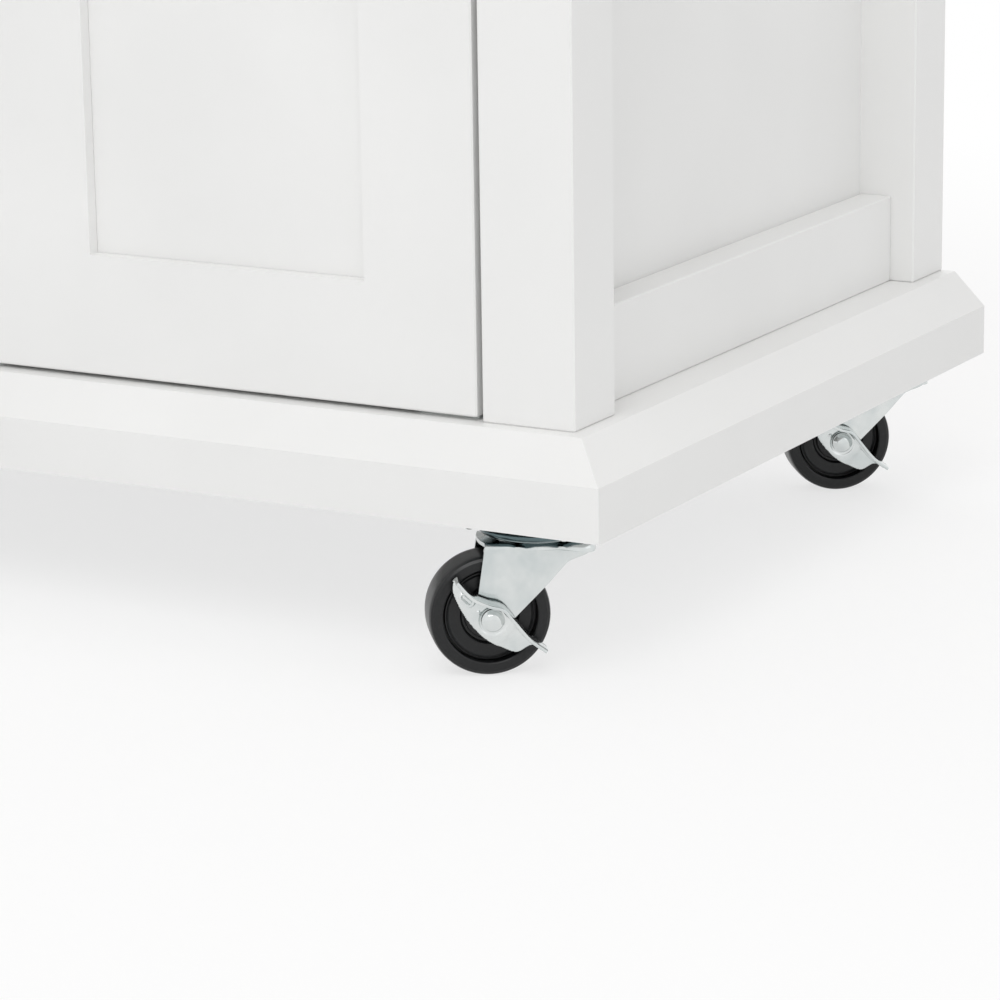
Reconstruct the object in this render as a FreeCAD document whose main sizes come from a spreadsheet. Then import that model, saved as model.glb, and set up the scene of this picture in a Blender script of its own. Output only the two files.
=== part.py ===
"""Drop leaf kitchen island on four braked casters, in millimetres.

X runs to the right, Y to the back and Z up. The origin lies on the floor under
the middle of the island's outer box, with the leaf hanging at the back.
"""
import FreeCAD, Part
import math
import os
import Sketcher

from FreeCAD import Rotation, Vector

DRIVING_SIZES = {
    # whole island
    "overall_height": 915,
    "body_width": 660,
    "base_depth": 457,
    "top_thickness": 25,
    "top_overhang": 38,
    # base moulding: a low frame with a sloped upper edge
    "base_height": 44.5,
    "base_rail_width": 78,
    "base_slope": 18,
    "post_inset": 25.4,
    # posts, side rails and side panels
    "post_width": 49,
    "post_depth": 40.5,
    "rail_inset": 13.5,
    "panel_inset": 32,
    "rail_height": 47,
    "side_panel_thickness": 15,
    "back_panel_thickness": 6,
    "floor_thickness": 18,
    "shelf_thickness": 18,
    "shelf_height": 430,
    "shelf_clearance": 1,
    "shelf_setback": 20,
    "shelf_back_gap": 3,
    "edge_break": 0.8,
    # doors and drawer
    "front_gap": 3,
    "door_bottom_gap": 2,
    "front_thickness": 19,
    "frame_width": 60,
    "groove_width": 6,
    "groove_depth": 9,
    "panel_slack": 1,
    "panel_play": 0.2,
    "tongue_play": 0.5,
    "front_rail_height": 22,
    "front_rail_depth": 60,
    "drawer_front_height": 125,
    "drawer_back_gap": 34.6,
    "drawer_box_height": 90,
    "drawer_board": 12,
    "drawer_bottom_thickness": 5,
    "drawer_box_lift": 13,
    "slide_space": 15,
    "slide_shortfall": 10,
    "slide_height": 45,
    "slide_sheet": 1.5,
    "slide_overlap": 7,
    "slide_play": 0.3,
    # knobs and the hidden door pivots
    "knob_radius": 15,
    "knob_length": 26,
    "knob_drop": 80,
    "pivot_inset": 18,
    "pivot_radius": 3,
    "socket_radius": 5,
    "socket_length": 14,
    "pivot_plate_length": 32,
    "pivot_plate_width": 14,
    "pivot_plate_setback": 3.5,
    "pivot_sheet": 1.5,
    # drop leaf, its hinges and its two prop arms
    "leaf_depth": 360,
    "leaf_gap": 1.5,
    "barrel_radius": 3,
    "hinge_length": 70,
    "hinge_flap": 28,
    "hinge_sheet": 1.5,
    "hinge_spacing": 230,
    "prop_drop": 150,
    "prop_setback": 19,
    "prop_half_width": 12,
    "prop_thickness": 18,
    "prop_seat_gap": 0.3,
    "prop_pin_radius": 3,
    "prop_play": 1,
    "bracket_sheet": 2,
    "stop_height": 3,
    "stop_length": 40,
    "stop_width": 24,
    # casters
    "caster_height": 73,
    "caster_inset_side": 50,
    "caster_inset_end": 32,
    "caster_turn": 37.9,
    "wheel_radius": 29,
    "wheel_width": 22,
    "trail": 23.7,
    "caster_plate_length": 60,
    "caster_plate_width": 48,
    "caster_sheet": 2,
    "kingpin_radius": 5,
    "race_gap": 0.4,
    "wheel_headroom": 6,
    "fork_half_width": 14,
    "crown_radius": 28,
    "lip_drop": 1.5,
    "axle_radius": 4,
    "axle_collar": 2,
    "brake_sheet": 1.6,
    "brake_play": 0.3,
    "running_gap": 0.05,
}

DERIVED_SIZES = {
    "base_width": "=body_width + 2 * post_inset",
    "body_depth": "=base_depth - post_inset",
    "top_width": "=body_width + 2 * top_overhang",
    "top_depth": "=body_depth + 2 * top_overhang",
    "total_depth": "=top_depth + leaf_gap / 2 + barrel_radius + top_thickness",
    "top_front": "=-total_depth / 2",
    "body_front": "=top_front + top_overhang",
    "body_back": "=body_front + body_depth",
    "base_front_face": "=body_front - post_inset",
    "top_back": "=body_back + top_overhang",
    "hinge_line_y": "=top_back + leaf_gap / 2",
    "base_top": "=caster_height + base_height",
    "under_top": "=overall_height - top_thickness",
    "hinge_line_z": "=under_top - barrel_radius",
    "post_length": "=under_top - base_top",
    "opening_half": "=body_width / 2 - post_width",
    "lining_half": "=body_width / 2 - panel_inset - side_panel_thickness",
    "side_length": "=body_depth - 2 * post_depth",
    "back_lining": "=body_back - panel_inset",
    "drawer_front_base": "=under_top - front_gap - drawer_front_height",
    "front_rail_base": "=drawer_front_base - front_gap - front_rail_height",
    "door_base": "=base_top + door_bottom_gap",
    "door_height": "=front_rail_base - front_gap - door_base",
    "door_width": "=(2 * opening_half - 3 * front_gap) / 2",
    "door_opening": "=door_width - 2 * frame_width",
    "box_half": "=lining_half - slide_space",
    "inner_back": "=back_lining - back_panel_thickness",
    "box_front": "=body_front + front_thickness",
    "drawer_box_depth": "=inner_back - drawer_back_gap - box_front",
    "slide_length": "=drawer_box_depth - slide_shortfall",
    "pivot_line_x": "=opening_half - front_gap - pivot_inset",
    "pivot_line_y": "=body_front + front_thickness / 2",
    "pivot_swing": "=sqrt(pivot_inset ^ 2 + (front_thickness / 2) ^ 2)",
    "floor_front": "=pivot_line_y + pivot_swing + front_gap / 2",
    "box_base": "=drawer_front_base + drawer_box_lift",
    "slide_level": "=box_base + drawer_box_height / 2",
    "prop_line_y": "=hinge_line_y - prop_setback",
    "prop_line_z": "=hinge_line_z - prop_drop",
    "prop_rise": "=prop_drop + barrel_radius - prop_half_width - prop_seat_gap",
    "prop_reach": "=prop_rise * sqrt(2)",
    "prop_offset": "=body_width / 2 - post_width / 2",
}

doc = FreeCAD.newDocument("drop_leaf_island")
sheet = doc.addObject("Spreadsheet::Sheet", "Dims")
for row, (alias, value) in enumerate({**DRIVING_SIZES, **DERIVED_SIZES}.items(), start=1):
    sheet.set(f"A{row}", alias)
    sheet.set(f"B{row}", str(value))
    sheet.setAlias(f"B{row}", alias)
doc.recompute()

nodes = []
NEAR = 0.01


def mm(alias):
    """One size of the sheet as a plain number."""
    return float(getattr(sheet, alias))


def bind(target, prop, formula):
    """Tie a property to a formula of sheet sizes, where each size is written as @name."""
    target.setExpression(prop, formula.replace("@", "Dims."))


def place(target, position, turn=None):
    """Tie the three coordinates, and a turn about Z in degrees if one is given."""
    for axis, formula in zip("xyz", position):
        bind(target, f"Placement.Base.{axis}", formula)
    if turn is not None:
        bind(target, "Placement.Rotation.Angle", turn)


def origin_plane(body, role):
    return next(feature for feature in body.Origin.OriginFeatures if feature.Role == role)


def keep(target):
    """Count an object as one of the island's sub-parts."""
    nodes.append(target)
    return target


def new_sketch(body, role, name):
    sketch = body.newObject("Sketcher::SketchObject", name)
    sketch.AttachmentSupport = (origin_plane(body, role), [""])
    sketch.MapMode = "FlatFace"
    return sketch


def add_rectangle(sketch, width, depth):
    """A rectangle from the sketch origin, sized by two formulas."""
    corners = [Vector(0, 0), Vector(10, 0), Vector(10, 10), Vector(0, 10)]
    for start, end in zip(corners, corners[1:] + corners[:1]):
        sketch.addGeometry(Part.LineSegment(start, end))
    for line in range(4):
        sketch.addConstraint(Sketcher.Constraint("Coincident", line, 2, (line + 1) % 4, 1))
    for line, direction in enumerate(("Horizontal", "Vertical", "Horizontal", "Vertical")):
        sketch.addConstraint(Sketcher.Constraint(direction, line))
    sketch.addConstraint(Sketcher.Constraint("Coincident", 0, 1, -1, 1))
    across = sketch.addConstraint(Sketcher.Constraint("DistanceX", 0, 1, 0, 2, 10))
    along = sketch.addConstraint(Sketcher.Constraint("DistanceY", 1, 1, 1, 2, 10))
    sketch.renameConstraint(across, "across")
    sketch.renameConstraint(along, "along")
    bind(sketch, "Constraints.across", width)
    bind(sketch, "Constraints.along", depth)


def add_outline(sketch, points):
    """A closed outline of straight lines through points, which are (formula, formula) pairs."""
    count = len(points)
    turn = 2 * math.pi / count
    spots = [Vector(40 * math.cos(turn * i), 40 * math.sin(turn * i)) for i in range(count)]
    for line in range(count):
        sketch.addGeometry(Part.LineSegment(spots[line], spots[(line + 1) % count]))
    for line in range(count):
        sketch.addConstraint(Sketcher.Constraint("Coincident", line, 2, (line + 1) % count, 1))
    for line, (across, along) in enumerate(points):
        for kind, formula in (("DistanceX", across), ("DistanceY", along)):
            tag = f"point{line}{kind[-1]}"
            spot = spots[line].x if kind == "DistanceX" else spots[line].y
            index = sketch.addConstraint(Sketcher.Constraint(kind, -1, 1, line, 1, spot))
            sketch.renameConstraint(index, tag)
            bind(sketch, f"Constraints.{tag}", formula)


def pad(body, sketch, length, name="Pad"):
    feature = body.newObject("PartDesign::Pad", name)
    feature.Profile = sketch
    bind(feature, "Length", length)
    sketch.Visibility = False
    return feature


def break_edges(body, solid, sharp=()):
    """Break the outer edges of a board by a small chamfer, and leave its grooves sharp.

    sharp names the sides of its box, such as XMin, whose edges meet another board flush.
    """
    doc.recompute()
    box = solid.Shape.BoundBox
    names = []
    for number, edge in enumerate(solid.Shape.Edges, start=1):
        own = edge.BoundBox
        meets = any(
            abs(getattr(own, f"{side[0]}Min") - getattr(box, side)) < NEAR
            and abs(getattr(own, f"{side[0]}Max") - getattr(box, side)) < NEAR for side in sharp)
        if planes_touched(own, box) >= 2 and not meets:
            names.append(f"Edge{number}")
    chamfer = body.newObject("PartDesign::Chamfer", "BrokenEdges")
    chamfer.Base = (solid, names)
    bind(chamfer, "Size", "@edge_break")
    return chamfer


def planes_touched(inner, outer):
    """How many sides of the outer box hold all of the inner box."""
    count = 0
    for low, high, start, end in (
            (inner.XMin, inner.XMax, outer.XMin, outer.XMax),
            (inner.YMin, inner.YMax, outer.YMin, outer.YMax),
            (inner.ZMin, inner.ZMax, outer.ZMin, outer.ZMax)):
        on_start = abs(low - start) < NEAR and abs(high - start) < NEAR
        on_end = abs(low - end) < NEAR and abs(high - end) < NEAR
        count += on_start or on_end
    return count


def board(name, size, position, broken=True):
    """A rectangular board from its left, front, lower corner."""
    body = doc.addObject("PartDesign::Body", name)
    sketch = new_sketch(body, "XY_Plane", f"{name}_outline")
    add_rectangle(sketch, size[0], size[1])
    solid = pad(body, sketch, size[2])
    if broken:
        break_edges(body, solid)
    place(body, position)
    return body


def gather(name, members):
    """Alike pieces of one sub-part as a group of separate solids."""
    group = doc.addObject("Part::Compound", name)
    group.Links = members
    return keep(group)


def feature(name, shape, position=None, turn=None):
    """A formed piece whose shape is worked out from the sheet."""
    item = doc.addObject("Part::Feature", name)
    item.Shape = shape
    if position is not None:
        place(item, position, turn)
    return item


def cylinder(radius, height, base, direction=Vector(0, 0, 1)):
    return Part.makeCylinder(radius, height, base, direction)


def slab(points, thickness_vector):
    """A flat plate: a closed outline of 3-D points, thickened along one vector."""
    return Part.Face(Part.makePolygon(points + points[:1])).extrude(thickness_vector)


SIDES = (("left", -1), ("right", 1))


def mirrored(side, size, inner):
    """X of a board's left face, for a board whose inner face lies at +-inner."""
    return f"{inner}" if side > 0 else f"-({inner}) - ({size})"


# ---------------------------------------------------------------- carcass

def make_posts():
    size = ("@post_width", "@post_depth", "@post_length")
    rows = (("front", "@body_front"), ("rear", "@body_back - @post_depth"))
    for row, y in rows:
        for word, side in SIDES:
            x = mirrored(side, "@post_width", "@opening_half")
            keep(board(f"post_{row}_{word}", size, (x, y, "@base_top")))


def make_sides():
    y = "@body_front + @post_depth"
    for word, side in SIDES:
        panel_size = ("@side_panel_thickness", "@side_length", "@post_length")
        panel_x = mirrored(side, "@side_panel_thickness", "@lining_half")
        keep(board(f"side_panel_{word}", panel_size, (panel_x, y, "@base_top"), broken=False))
        rail_size = ("@panel_inset - @rail_inset", "@side_length", "@rail_height")
        rail_x = mirrored(side, "@panel_inset - @rail_inset", "@body_width / 2 - @panel_inset")
        rails = []
        for level, z in (("lower", "@base_top"), ("upper", "@under_top - @rail_height")):
            rails.append(board(f"side_rail_{word}_{level}", rail_size, (rail_x, y, z)))
        gather(f"side_rails_{word}", rails)


def make_back():
    size = ("2 * @opening_half", "@back_panel_thickness", "@post_length")
    spot = ("-@opening_half", "@inner_back", "@base_top")
    keep(board("back_panel", size, spot, broken=False))
    rail_size = ("2 * @opening_half", "@panel_inset - @rail_inset", "@rail_height")
    rails = []
    for level, z in (("lower", "@base_top"), ("upper", "@under_top - @rail_height")):
        rails.append(board(f"back_rail_{level}", rail_size, ("-@opening_half", "@back_lining", z)))
    gather("back_rails", rails)


def make_inside():
    keep(board(
        "front_rail",
        ("2 * @opening_half", "@front_rail_depth", "@front_rail_height"),
        ("-@opening_half", "@body_front", "@front_rail_base")))
    floor_depth = "@inner_back - @floor_front"
    keep(board(
        "bottom_panel",
        ("2 * @opening_half", floor_depth, "@floor_thickness"),
        ("-@opening_half", "@floor_front", "@base_top")))
    shelf_front = "@box_front + @shelf_setback"
    shelf_depth = f"@inner_back - @shelf_back_gap - ({shelf_front})"
    keep(board(
        "shelf",
        ("2 * (@opening_half - @shelf_clearance)", shelf_depth, "@shelf_thickness"),
        ("-@opening_half + @shelf_clearance", shelf_front, "@shelf_height")))


def make_shelf_pins():
    """Four pins on the side panels: a round peg with a flat tongue under the shelf."""
    peg_radius = 2.5
    reach = 10.0
    tongue_width = 12.0
    tongue_sheet = 1.5
    pins = []
    for word, side in SIDES:
        for row, share in (("front", 0.15), ("rear", 0.85)):
            peg = cylinder(peg_radius, reach, Vector(0, 0, -peg_radius), Vector(-side, 0, 0))
            start = min(0, -side * reach)
            corner = Vector(start, -tongue_width / 2, -tongue_sheet)
            tongue = Part.makeBox(reach, tongue_width, tongue_sheet, corner)
            y = f"@body_front + @post_depth + {share} * @side_length"
            spot = (f"{side} * @lining_half", y, "@shelf_height")
            pins.append(feature(f"shelf_pin_{row}_{word}", peg.fuse(tongue), spot))
    gather("shelf_pins", pins)


# ---------------------------------------------------------------- base

def base_profile():
    """Section of the moulding: outer face at 0, with the slope along its upper outer edge."""
    return [
        ("0", "0"),
        ("@base_rail_width", "0"),
        ("@base_rail_width", "@base_height"),
        ("@base_slope", "@base_height"),
        ("0", "@base_height - @base_slope"),
    ]


def make_base():
    """Front and side mouldings meet in mitres at the front; the back rail butts between them."""
    width = "@base_width"
    band = "@base_rail_width"
    body = doc.addObject("PartDesign::Body", "base_front")
    sketch = new_sketch(body, "YZ_Plane", "base_front_section")
    add_outline(sketch, base_profile())
    pad(body, sketch, width)
    for word, corner, inner in (("left", "0", band), ("right", width, f"{width} - {band}")):
        cut_corner(body, f"base_front_{word}", [(corner, "0"), (inner, band), (corner, band)])
    place(body, (f"-{width} / 2", "@base_front_face", "@caster_height"))
    keep(body)

    for word, side in SIDES:
        name = f"base_{word}"
        body = doc.addObject("PartDesign::Body", name)
        sketch = new_sketch(body, "XZ_Plane", f"{name}_section")
        across = [(f"{-side} * ({x})", z) for x, z in base_profile()]
        add_outline(sketch, across)
        run = pad(body, sketch, "@base_depth")
        run.Reversed = True
        inner = f"{-side} * {band}"
        cut_corner(body, name, [("0", "0"), (inner, "0"), (inner, band)])
        place(body, (f"{side} * {width} / 2", "@base_front_face", "@caster_height"))
        keep(body)

    keep(board(
        "base_back",
        (f"{width} - 2 * {band}", band, "@base_height"),
        (f"-{width} / 2 + {band}", "@base_front_face + @base_depth - @base_rail_width",
         "@caster_height"),
        broken=False))


def cut_corner(body, name, points):
    """Cut a triangle away through the whole height of a moulding."""
    sketch = new_sketch(body, "XY_Plane", f"{name}_mitre")
    add_outline(sketch, points)
    pocket = body.newObject("PartDesign::Pocket", f"{name}_mitre_cut")
    pocket.Profile = sketch
    pocket.Type = 1
    pocket.Midplane = True
    sketch.Visibility = False
    return pocket


# ---------------------------------------------------------------- doors

def door_stile(name, x, groove_side):
    """An upright of the door frame, grooved along its inner edge for the panel and rails."""
    body = doc.addObject("PartDesign::Body", name)
    sketch = new_sketch(body, "XY_Plane", f"{name}_section")
    near = "(@front_thickness - @groove_width) / 2"
    far = "(@front_thickness + @groove_width) / 2"
    if groove_side > 0:
        edge, bed = "@frame_width", "@frame_width - @groove_depth"
        opposite = "0"
    else:
        edge, bed = "0", "@groove_depth"
        opposite = "@frame_width"
    add_outline(sketch, [
        (opposite, "0"), (edge, "0"), (edge, near), (bed, near),
        (bed, far), (edge, far), (edge, "@front_thickness"), (opposite, "@front_thickness")])
    solid = pad(body, sketch, "@door_height")
    break_edges(body, solid, ["XMax" if groove_side > 0 else "XMin"])
    place(body, (x, "@body_front", "@door_base"))
    return body


def bore_pivots(body, x):
    """A blind hole in each end of the hinge stile, for the pivot sockets."""
    for end, level, upwards in (("lower", "0", True), ("upper", "@door_height", False)):
        sketch = new_sketch(body, "XY_Plane", f"{end}_socket_bore")
        bind(sketch, "AttachmentOffset.Base.z", level)
        sketch.addGeometry(Part.Circle(Vector(20, 10), Vector(0, 0, 1), mm("socket_radius")))
        sizes = (
            ("across", ("DistanceX", -1, 1, 0, 3, 20), x),
            ("along", ("DistanceY", -1, 1, 0, 3, 10), "@front_thickness / 2"),
            ("radius", ("Radius", 0, mm("socket_radius")), "@socket_radius"))
        for tag, constraint, formula in sizes:
            index = sketch.addConstraint(Sketcher.Constraint(*constraint))
            sketch.renameConstraint(index, tag)
            bind(sketch, f"Constraints.{tag}", formula)
        pocket = body.newObject("PartDesign::Pocket", f"{end}_socket_hole")
        pocket.Profile = sketch
        pocket.Reversed = upwards
        bind(pocket, "Length", "@socket_length")
        sketch.Visibility = False


def door_rail(name, x, z, groove_up):
    """A rail between the stiles: a stub tongue at each end and a groove for the panel."""
    body = doc.addObject("PartDesign::Body", name)
    sketch = new_sketch(body, "YZ_Plane", f"{name}_section")
    near = "(@front_thickness - @groove_width) / 2"
    far = "(@front_thickness + @groove_width) / 2"
    edge = "@frame_width" if groove_up else "0"
    bed = "@frame_width - @groove_depth" if groove_up else "@groove_depth"
    opposite = "0" if groove_up else "@frame_width"
    add_outline(sketch, [
        ("0", opposite), ("0", edge), (near, edge), (near, bed),
        (far, bed), (far, edge), ("@front_thickness", edge), ("@front_thickness", opposite)])
    solid = pad(body, sketch, "@door_opening")
    break_edges(body, solid, ["XMin", "XMax", "ZMax" if groove_up else "ZMin"])
    tongue = new_sketch(body, "YZ_Plane", f"{name}_tongue")
    add_outline(tongue, [(near, opposite), (far, opposite), (far, bed), (near, bed)])
    both = body.newObject("PartDesign::Pad", "Tongues")
    both.Profile = tongue
    both.SideType = "Two sides"
    bind(both, "Length", "@door_opening + @groove_depth - @tongue_play")
    bind(both, "Length2", "@groove_depth - @tongue_play")
    tongue.Visibility = False
    place(body, (x, "@body_front", z))
    return body


def make_door(word, side):
    """A framed door: two grooved stiles, two rails and a thin panel held in the grooves."""
    left = "@front_gap / 2" if side > 0 else "-@front_gap / 2 - @door_width"
    first = door_stile(f"door_{word}_stile_1", left, 1)
    second = door_stile(f"door_{word}_stile_2", f"{left} + @door_width - @frame_width", -1)
    if side > 0:
        bore_pivots(second, "@frame_width - @pivot_inset")
    else:
        bore_pivots(first, "@pivot_inset")
    gather(f"door_{word}_stiles", [first, second])
    rail_x = f"{left} + @frame_width"
    upper_z = "@door_base + @door_height - @frame_width"
    lower = door_rail(f"door_{word}_rail_lower", rail_x, "@door_base", True)
    upper = door_rail(f"door_{word}_rail_upper", rail_x, upper_z, False)
    gather(f"door_{word}_rails", [lower, upper])
    slack = "(@groove_depth - @panel_slack)"
    panel_size = (
        f"@door_opening + 2 * {slack}",
        "@groove_width - 2 * @panel_play",
        f"@door_height - 2 * @frame_width + 2 * {slack}")
    panel_y = "@body_front + (@front_thickness - @groove_width) / 2 + @panel_play"
    panel_spot = (f"{rail_x} - {slack}", panel_y, f"@door_base + @frame_width - {slack}")
    keep(board(f"door_{word}_panel", panel_size, panel_spot, broken=False))
    knob_x = f"{side} * (@front_gap + @frame_width) / 2"
    knob_z = "@door_base + @door_height - @knob_drop"
    keep(feature(f"door_{word}_knob", knob_shape(), (knob_x, "@body_front", knob_z)))
    sockets = []
    for end, z in (("lower", "@door_base"), ("upper", "@door_base + @door_height - @socket_length")):
        spot = (f"{side} * @pivot_line_x", "@pivot_line_y", z)
        sockets.append(feature(f"door_{word}_socket_{end}", socket_shape(), spot))
    gather(f"door_{word}_pivot_sockets", sockets)


def knob_shape():
    """A turned knob with its seat at the origin, standing out along -Y."""
    radius = mm("knob_radius")
    length = mm("knob_length")
    seat = radius * 0.55
    neck = radius * 0.4
    head = length * 0.5
    brim = head + 6.0
    stem = [(0, 0), (seat, 0), (seat, -2), (neck, -4.5), (neck, -head), (radius * 0.9, -head - 3)]
    return turned(stem + domed_end(radius, -brim, -length))


def domed_end(radius, rim, peak):
    """Three short cones that round off a turned end, as (radius, Y) pairs from rim to peak."""
    rise = abs(peak - rim)
    ball = (radius ** 2 + rise ** 2) / (2 * rise)
    outward = 1 if peak > rim else -1
    pairs = []
    for share in (1.0, 0.75, 0.4, 0.0):
        x = share * radius
        pairs.append((x, peak - outward * (ball - math.sqrt(ball ** 2 - x ** 2))))
    return pairs


def turned(pairs):
    """A solid turned about the Y axis from the (radius, Y) pairs of its closed section."""
    points = [Vector(x, y, 0) for x, y in pairs]
    face = Part.Face(Part.makePolygon(points + points[:1]))
    return face.revolve(Vector(0, 0, 0), Vector(0, 1, 0), 360)


def socket_shape():
    """A steel bush pressed into the end of a stile, standing on its lower end."""
    length = mm("socket_length")
    bush = cylinder(mm("socket_radius"), length, Vector(0, 0, 0))
    return bush.cut(cylinder(mm("pivot_radius") + mm("running_gap"), length, Vector(0, 0, 0)))


def pivot_shape(gap):
    """A pin on a small plate, which fills the gap below or above a door."""
    sheet_size = mm("pivot_sheet")
    radius = mm("pivot_radius")
    length = mm("pivot_plate_length")
    width = mm("pivot_plate_width")
    collar = gap - sheet_size - mm("running_gap")
    engaged = 0.8 * mm("socket_length")
    corner = Vector(-length / 2, -mm("pivot_plate_setback"), 0)
    plate = Part.makeBox(length, width, sheet_size, corner)
    shoulder = cylinder(radius + 0.5, collar, Vector(0, 0, sheet_size))
    pin = cylinder(radius, gap + engaged, Vector(0, 0, 0))
    tip = Part.makeCone(radius, radius - 1, 1, Vector(0, 0, gap + engaged))
    return plate.fuse([shoulder, pin, tip]).removeSplitter()


def make_pivots():
    """Door pivots: a lower pin on the base and an upper one under the front rail, per door."""
    lower = pivot_shape(mm("door_bottom_gap"))
    upper = pivot_shape(mm("front_gap"))
    upper.rotate(Vector(0, 0, 0), Vector(0, 1, 0), 180)
    pivots = []
    for word, side in SIDES:
        for end, shape, z in (("lower", lower, "@base_top"), ("upper", upper, "@front_rail_base")):
            spot = (f"{side} * @pivot_line_x", "@pivot_line_y", z)
            pivots.append(feature(f"door_pivot_{word}_{end}", shape.copy(), spot))
    gather("door_pivots", pivots)


# ---------------------------------------------------------------- drawer

def make_drawer():
    """One wide drawer: a front, four box boards, a thin bottom, two slides and two knobs."""
    half = "@box_half"
    keep(board(
        "drawer_front",
        ("2 * (@opening_half - @front_gap)", "@front_thickness", "@drawer_front_height"),
        ("-@opening_half + @front_gap", "@body_front", "@drawer_front_base")))
    side_size = ("@drawer_board", "@drawer_box_depth", "@drawer_box_height")
    end_size = (f"2 * ({half} - @drawer_board)", "@drawer_board", "@drawer_box_height")
    boards = []
    for word, side in SIDES:
        x = mirrored(side, "@drawer_board", f"{half} - @drawer_board")
        boards.append(board(f"drawer_side_{word}", side_size, (x, "@box_front", "@box_base"), broken=False))
    ends = (("front", "@box_front"), ("rear", "@box_front + @drawer_box_depth - @drawer_board"))
    for word, y in ends:
        spot = (f"-({half} - @drawer_board)", y, "@box_base")
        boards.append(board(f"drawer_end_{word}", end_size, spot, broken=False))
    gather("drawer_box", boards)
    keep(board(
        "drawer_bottom",
        (f"2 * {half}", "@drawer_box_depth", "@drawer_bottom_thickness"),
        (f"-{half}", "@box_front", "@box_base - @drawer_bottom_thickness"),
        broken=False))
    fixed = []
    moving = []
    slide_y = "@body_front + @post_depth + @shelf_clearance"
    for word, side in SIDES:
        outer, inner = slide_shapes(side)
        outer_spot = (f"{side} * @lining_half", slide_y, "@slide_level")
        inner_spot = (f"{side} * {half}", slide_y, "@slide_level")
        fixed.append(feature(f"slide_outer_{word}", outer, outer_spot))
        moving.append(feature(f"slide_inner_{word}", inner, inner_spot))
    gather("drawer_slide_rails", fixed)
    gather("drawer_slide_runners", moving)
    knobs = []
    for word, side in SIDES:
        x = f"{side} * @door_width / 2"
        z = "@drawer_front_base + @drawer_front_height / 2"
        knobs.append(feature(f"drawer_knob_{word}", knob_shape(), (x, "@body_front", z)))
    gather("drawer_knobs", knobs)


def slide_shapes(side):
    """The fixed outer channel, open towards the drawer, and the runner inside it."""
    sheet_size = mm("slide_sheet")
    height = mm("slide_height")
    run = Vector(0, mm("slide_length"), 0)
    channel_depth = (mm("slide_space") + mm("slide_overlap")) / 2
    inner_height = height - 2 * sheet_size - 2 * mm("slide_play")
    outer = channel_shape(height, channel_depth, sheet_size, -side, run)
    inner = channel_shape(inner_height, channel_depth, sheet_size, side, run)
    return outer, inner


def channel_shape(height, depth, wall, facing, run):
    """A lying C section with its web at X = 0 and its flanges reaching along facing."""
    top = height / 2
    section = [
        (0, -top), (depth, -top), (depth, -top + wall), (wall, -top + wall),
        (wall, top - wall), (depth, top - wall), (depth, top), (0, top),
    ]
    return slab([Vector(facing * x, 0, z) for x, z in section], run)


# ---------------------------------------------------------------- top and drop leaf

def make_top():
    keep(board(
        "worktop",
        ("@top_width", "@top_depth", "@top_thickness"),
        ("-@top_width / 2", "@top_front", "@under_top")))
    keep(board(
        "drop_leaf",
        ("@top_width", "@top_thickness", "@leaf_depth"),
        ("-@top_width / 2", "@hinge_line_y + @barrel_radius",
         "@hinge_line_z - @leaf_gap / 2 - @leaf_depth")))
    fixed = []
    moving = []
    for index in (-1, 0, 1):
        spot = (f"{index} * @hinge_spacing", "@hinge_line_y", "@hinge_line_z")
        fixed.append(feature(f"hinge_plate_{index + 2}", hinge_half(True), spot))
        moving.append(feature(f"hinge_flap_{index + 2}", hinge_half(False), spot))
    gather("leaf_hinge_plates", fixed)
    gather("leaf_hinge_flaps", moving)


def hinge_half(fixed):
    """Half of a butt hinge about its pin on X: three knuckles, the middle one on the flap."""
    length = mm("hinge_length")
    radius = mm("barrel_radius")
    flap = mm("hinge_flap")
    sheet_size = mm("hinge_sheet")
    pin = radius / 2
    knuckle = length / 3
    gap = 0.15
    relief = radius + 0.4
    mine = (0, 2) if fixed else (1,)
    along = Vector(1, 0, 0)
    pieces = []
    for slot in mine:
        start = -length / 2 + slot * knuckle + gap
        width = knuckle - 2 * gap
        pieces.append(cylinder(radius, width, Vector(start, 0, 0), along))
        if fixed:
            corner = Vector(start, -relief, radius - sheet_size)
            pieces.append(Part.makeBox(width, relief, sheet_size, corner))
        else:
            corner = Vector(start, radius - sheet_size, -relief)
            pieces.append(Part.makeBox(width, sheet_size, relief, corner))
    left = -length / 2
    if fixed:
        corner = Vector(left, -relief - flap, radius - sheet_size)
        plate = Part.makeBox(length, flap, sheet_size, corner)
    else:
        corner = Vector(left, radius - sheet_size, -relief - flap)
        plate = Part.makeBox(length, sheet_size, flap, corner)
    body = plate.fuse(pieces)
    if fixed:
        return body.fuse(cylinder(pin, length, Vector(left, 0, 0), along)).removeSplitter()
    bore = cylinder(pin + mm("running_gap"), length, Vector(left, 0, 0), along)
    return body.cut(bore).removeSplitter()


def make_props():
    """Two arms that hang behind the leaf and swing up under it, with their brackets and pins."""
    brackets = []
    stops = []
    for word, side in SIDES:
        spot = (f"{side} * @prop_offset", "@prop_line_y", "@prop_line_z")
        keep(feature(f"prop_arm_{word}", prop_arm_shape(), spot))
        brackets.append(feature(f"prop_bracket_{word}", prop_bracket_shape(), spot))
        brackets.append(feature(f"prop_pin_{word}", prop_pin_shape(), spot))
        stop_size = ("@stop_length", "@stop_height", "@stop_width")
        stop_top = "@hinge_line_z - (@prop_rise - @prop_setback) - @prop_half_width"
        stop_spot = (
            f"{side} * @prop_offset - @stop_length / 2",
            "@hinge_line_y + @barrel_radius - @stop_height",
            f"{stop_top} - @stop_width")
        stops.append(board(f"leaf_stop_{word}", stop_size, stop_spot, broken=False))
    gather("prop_brackets", brackets)
    gather("leaf_stops", stops)


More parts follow.
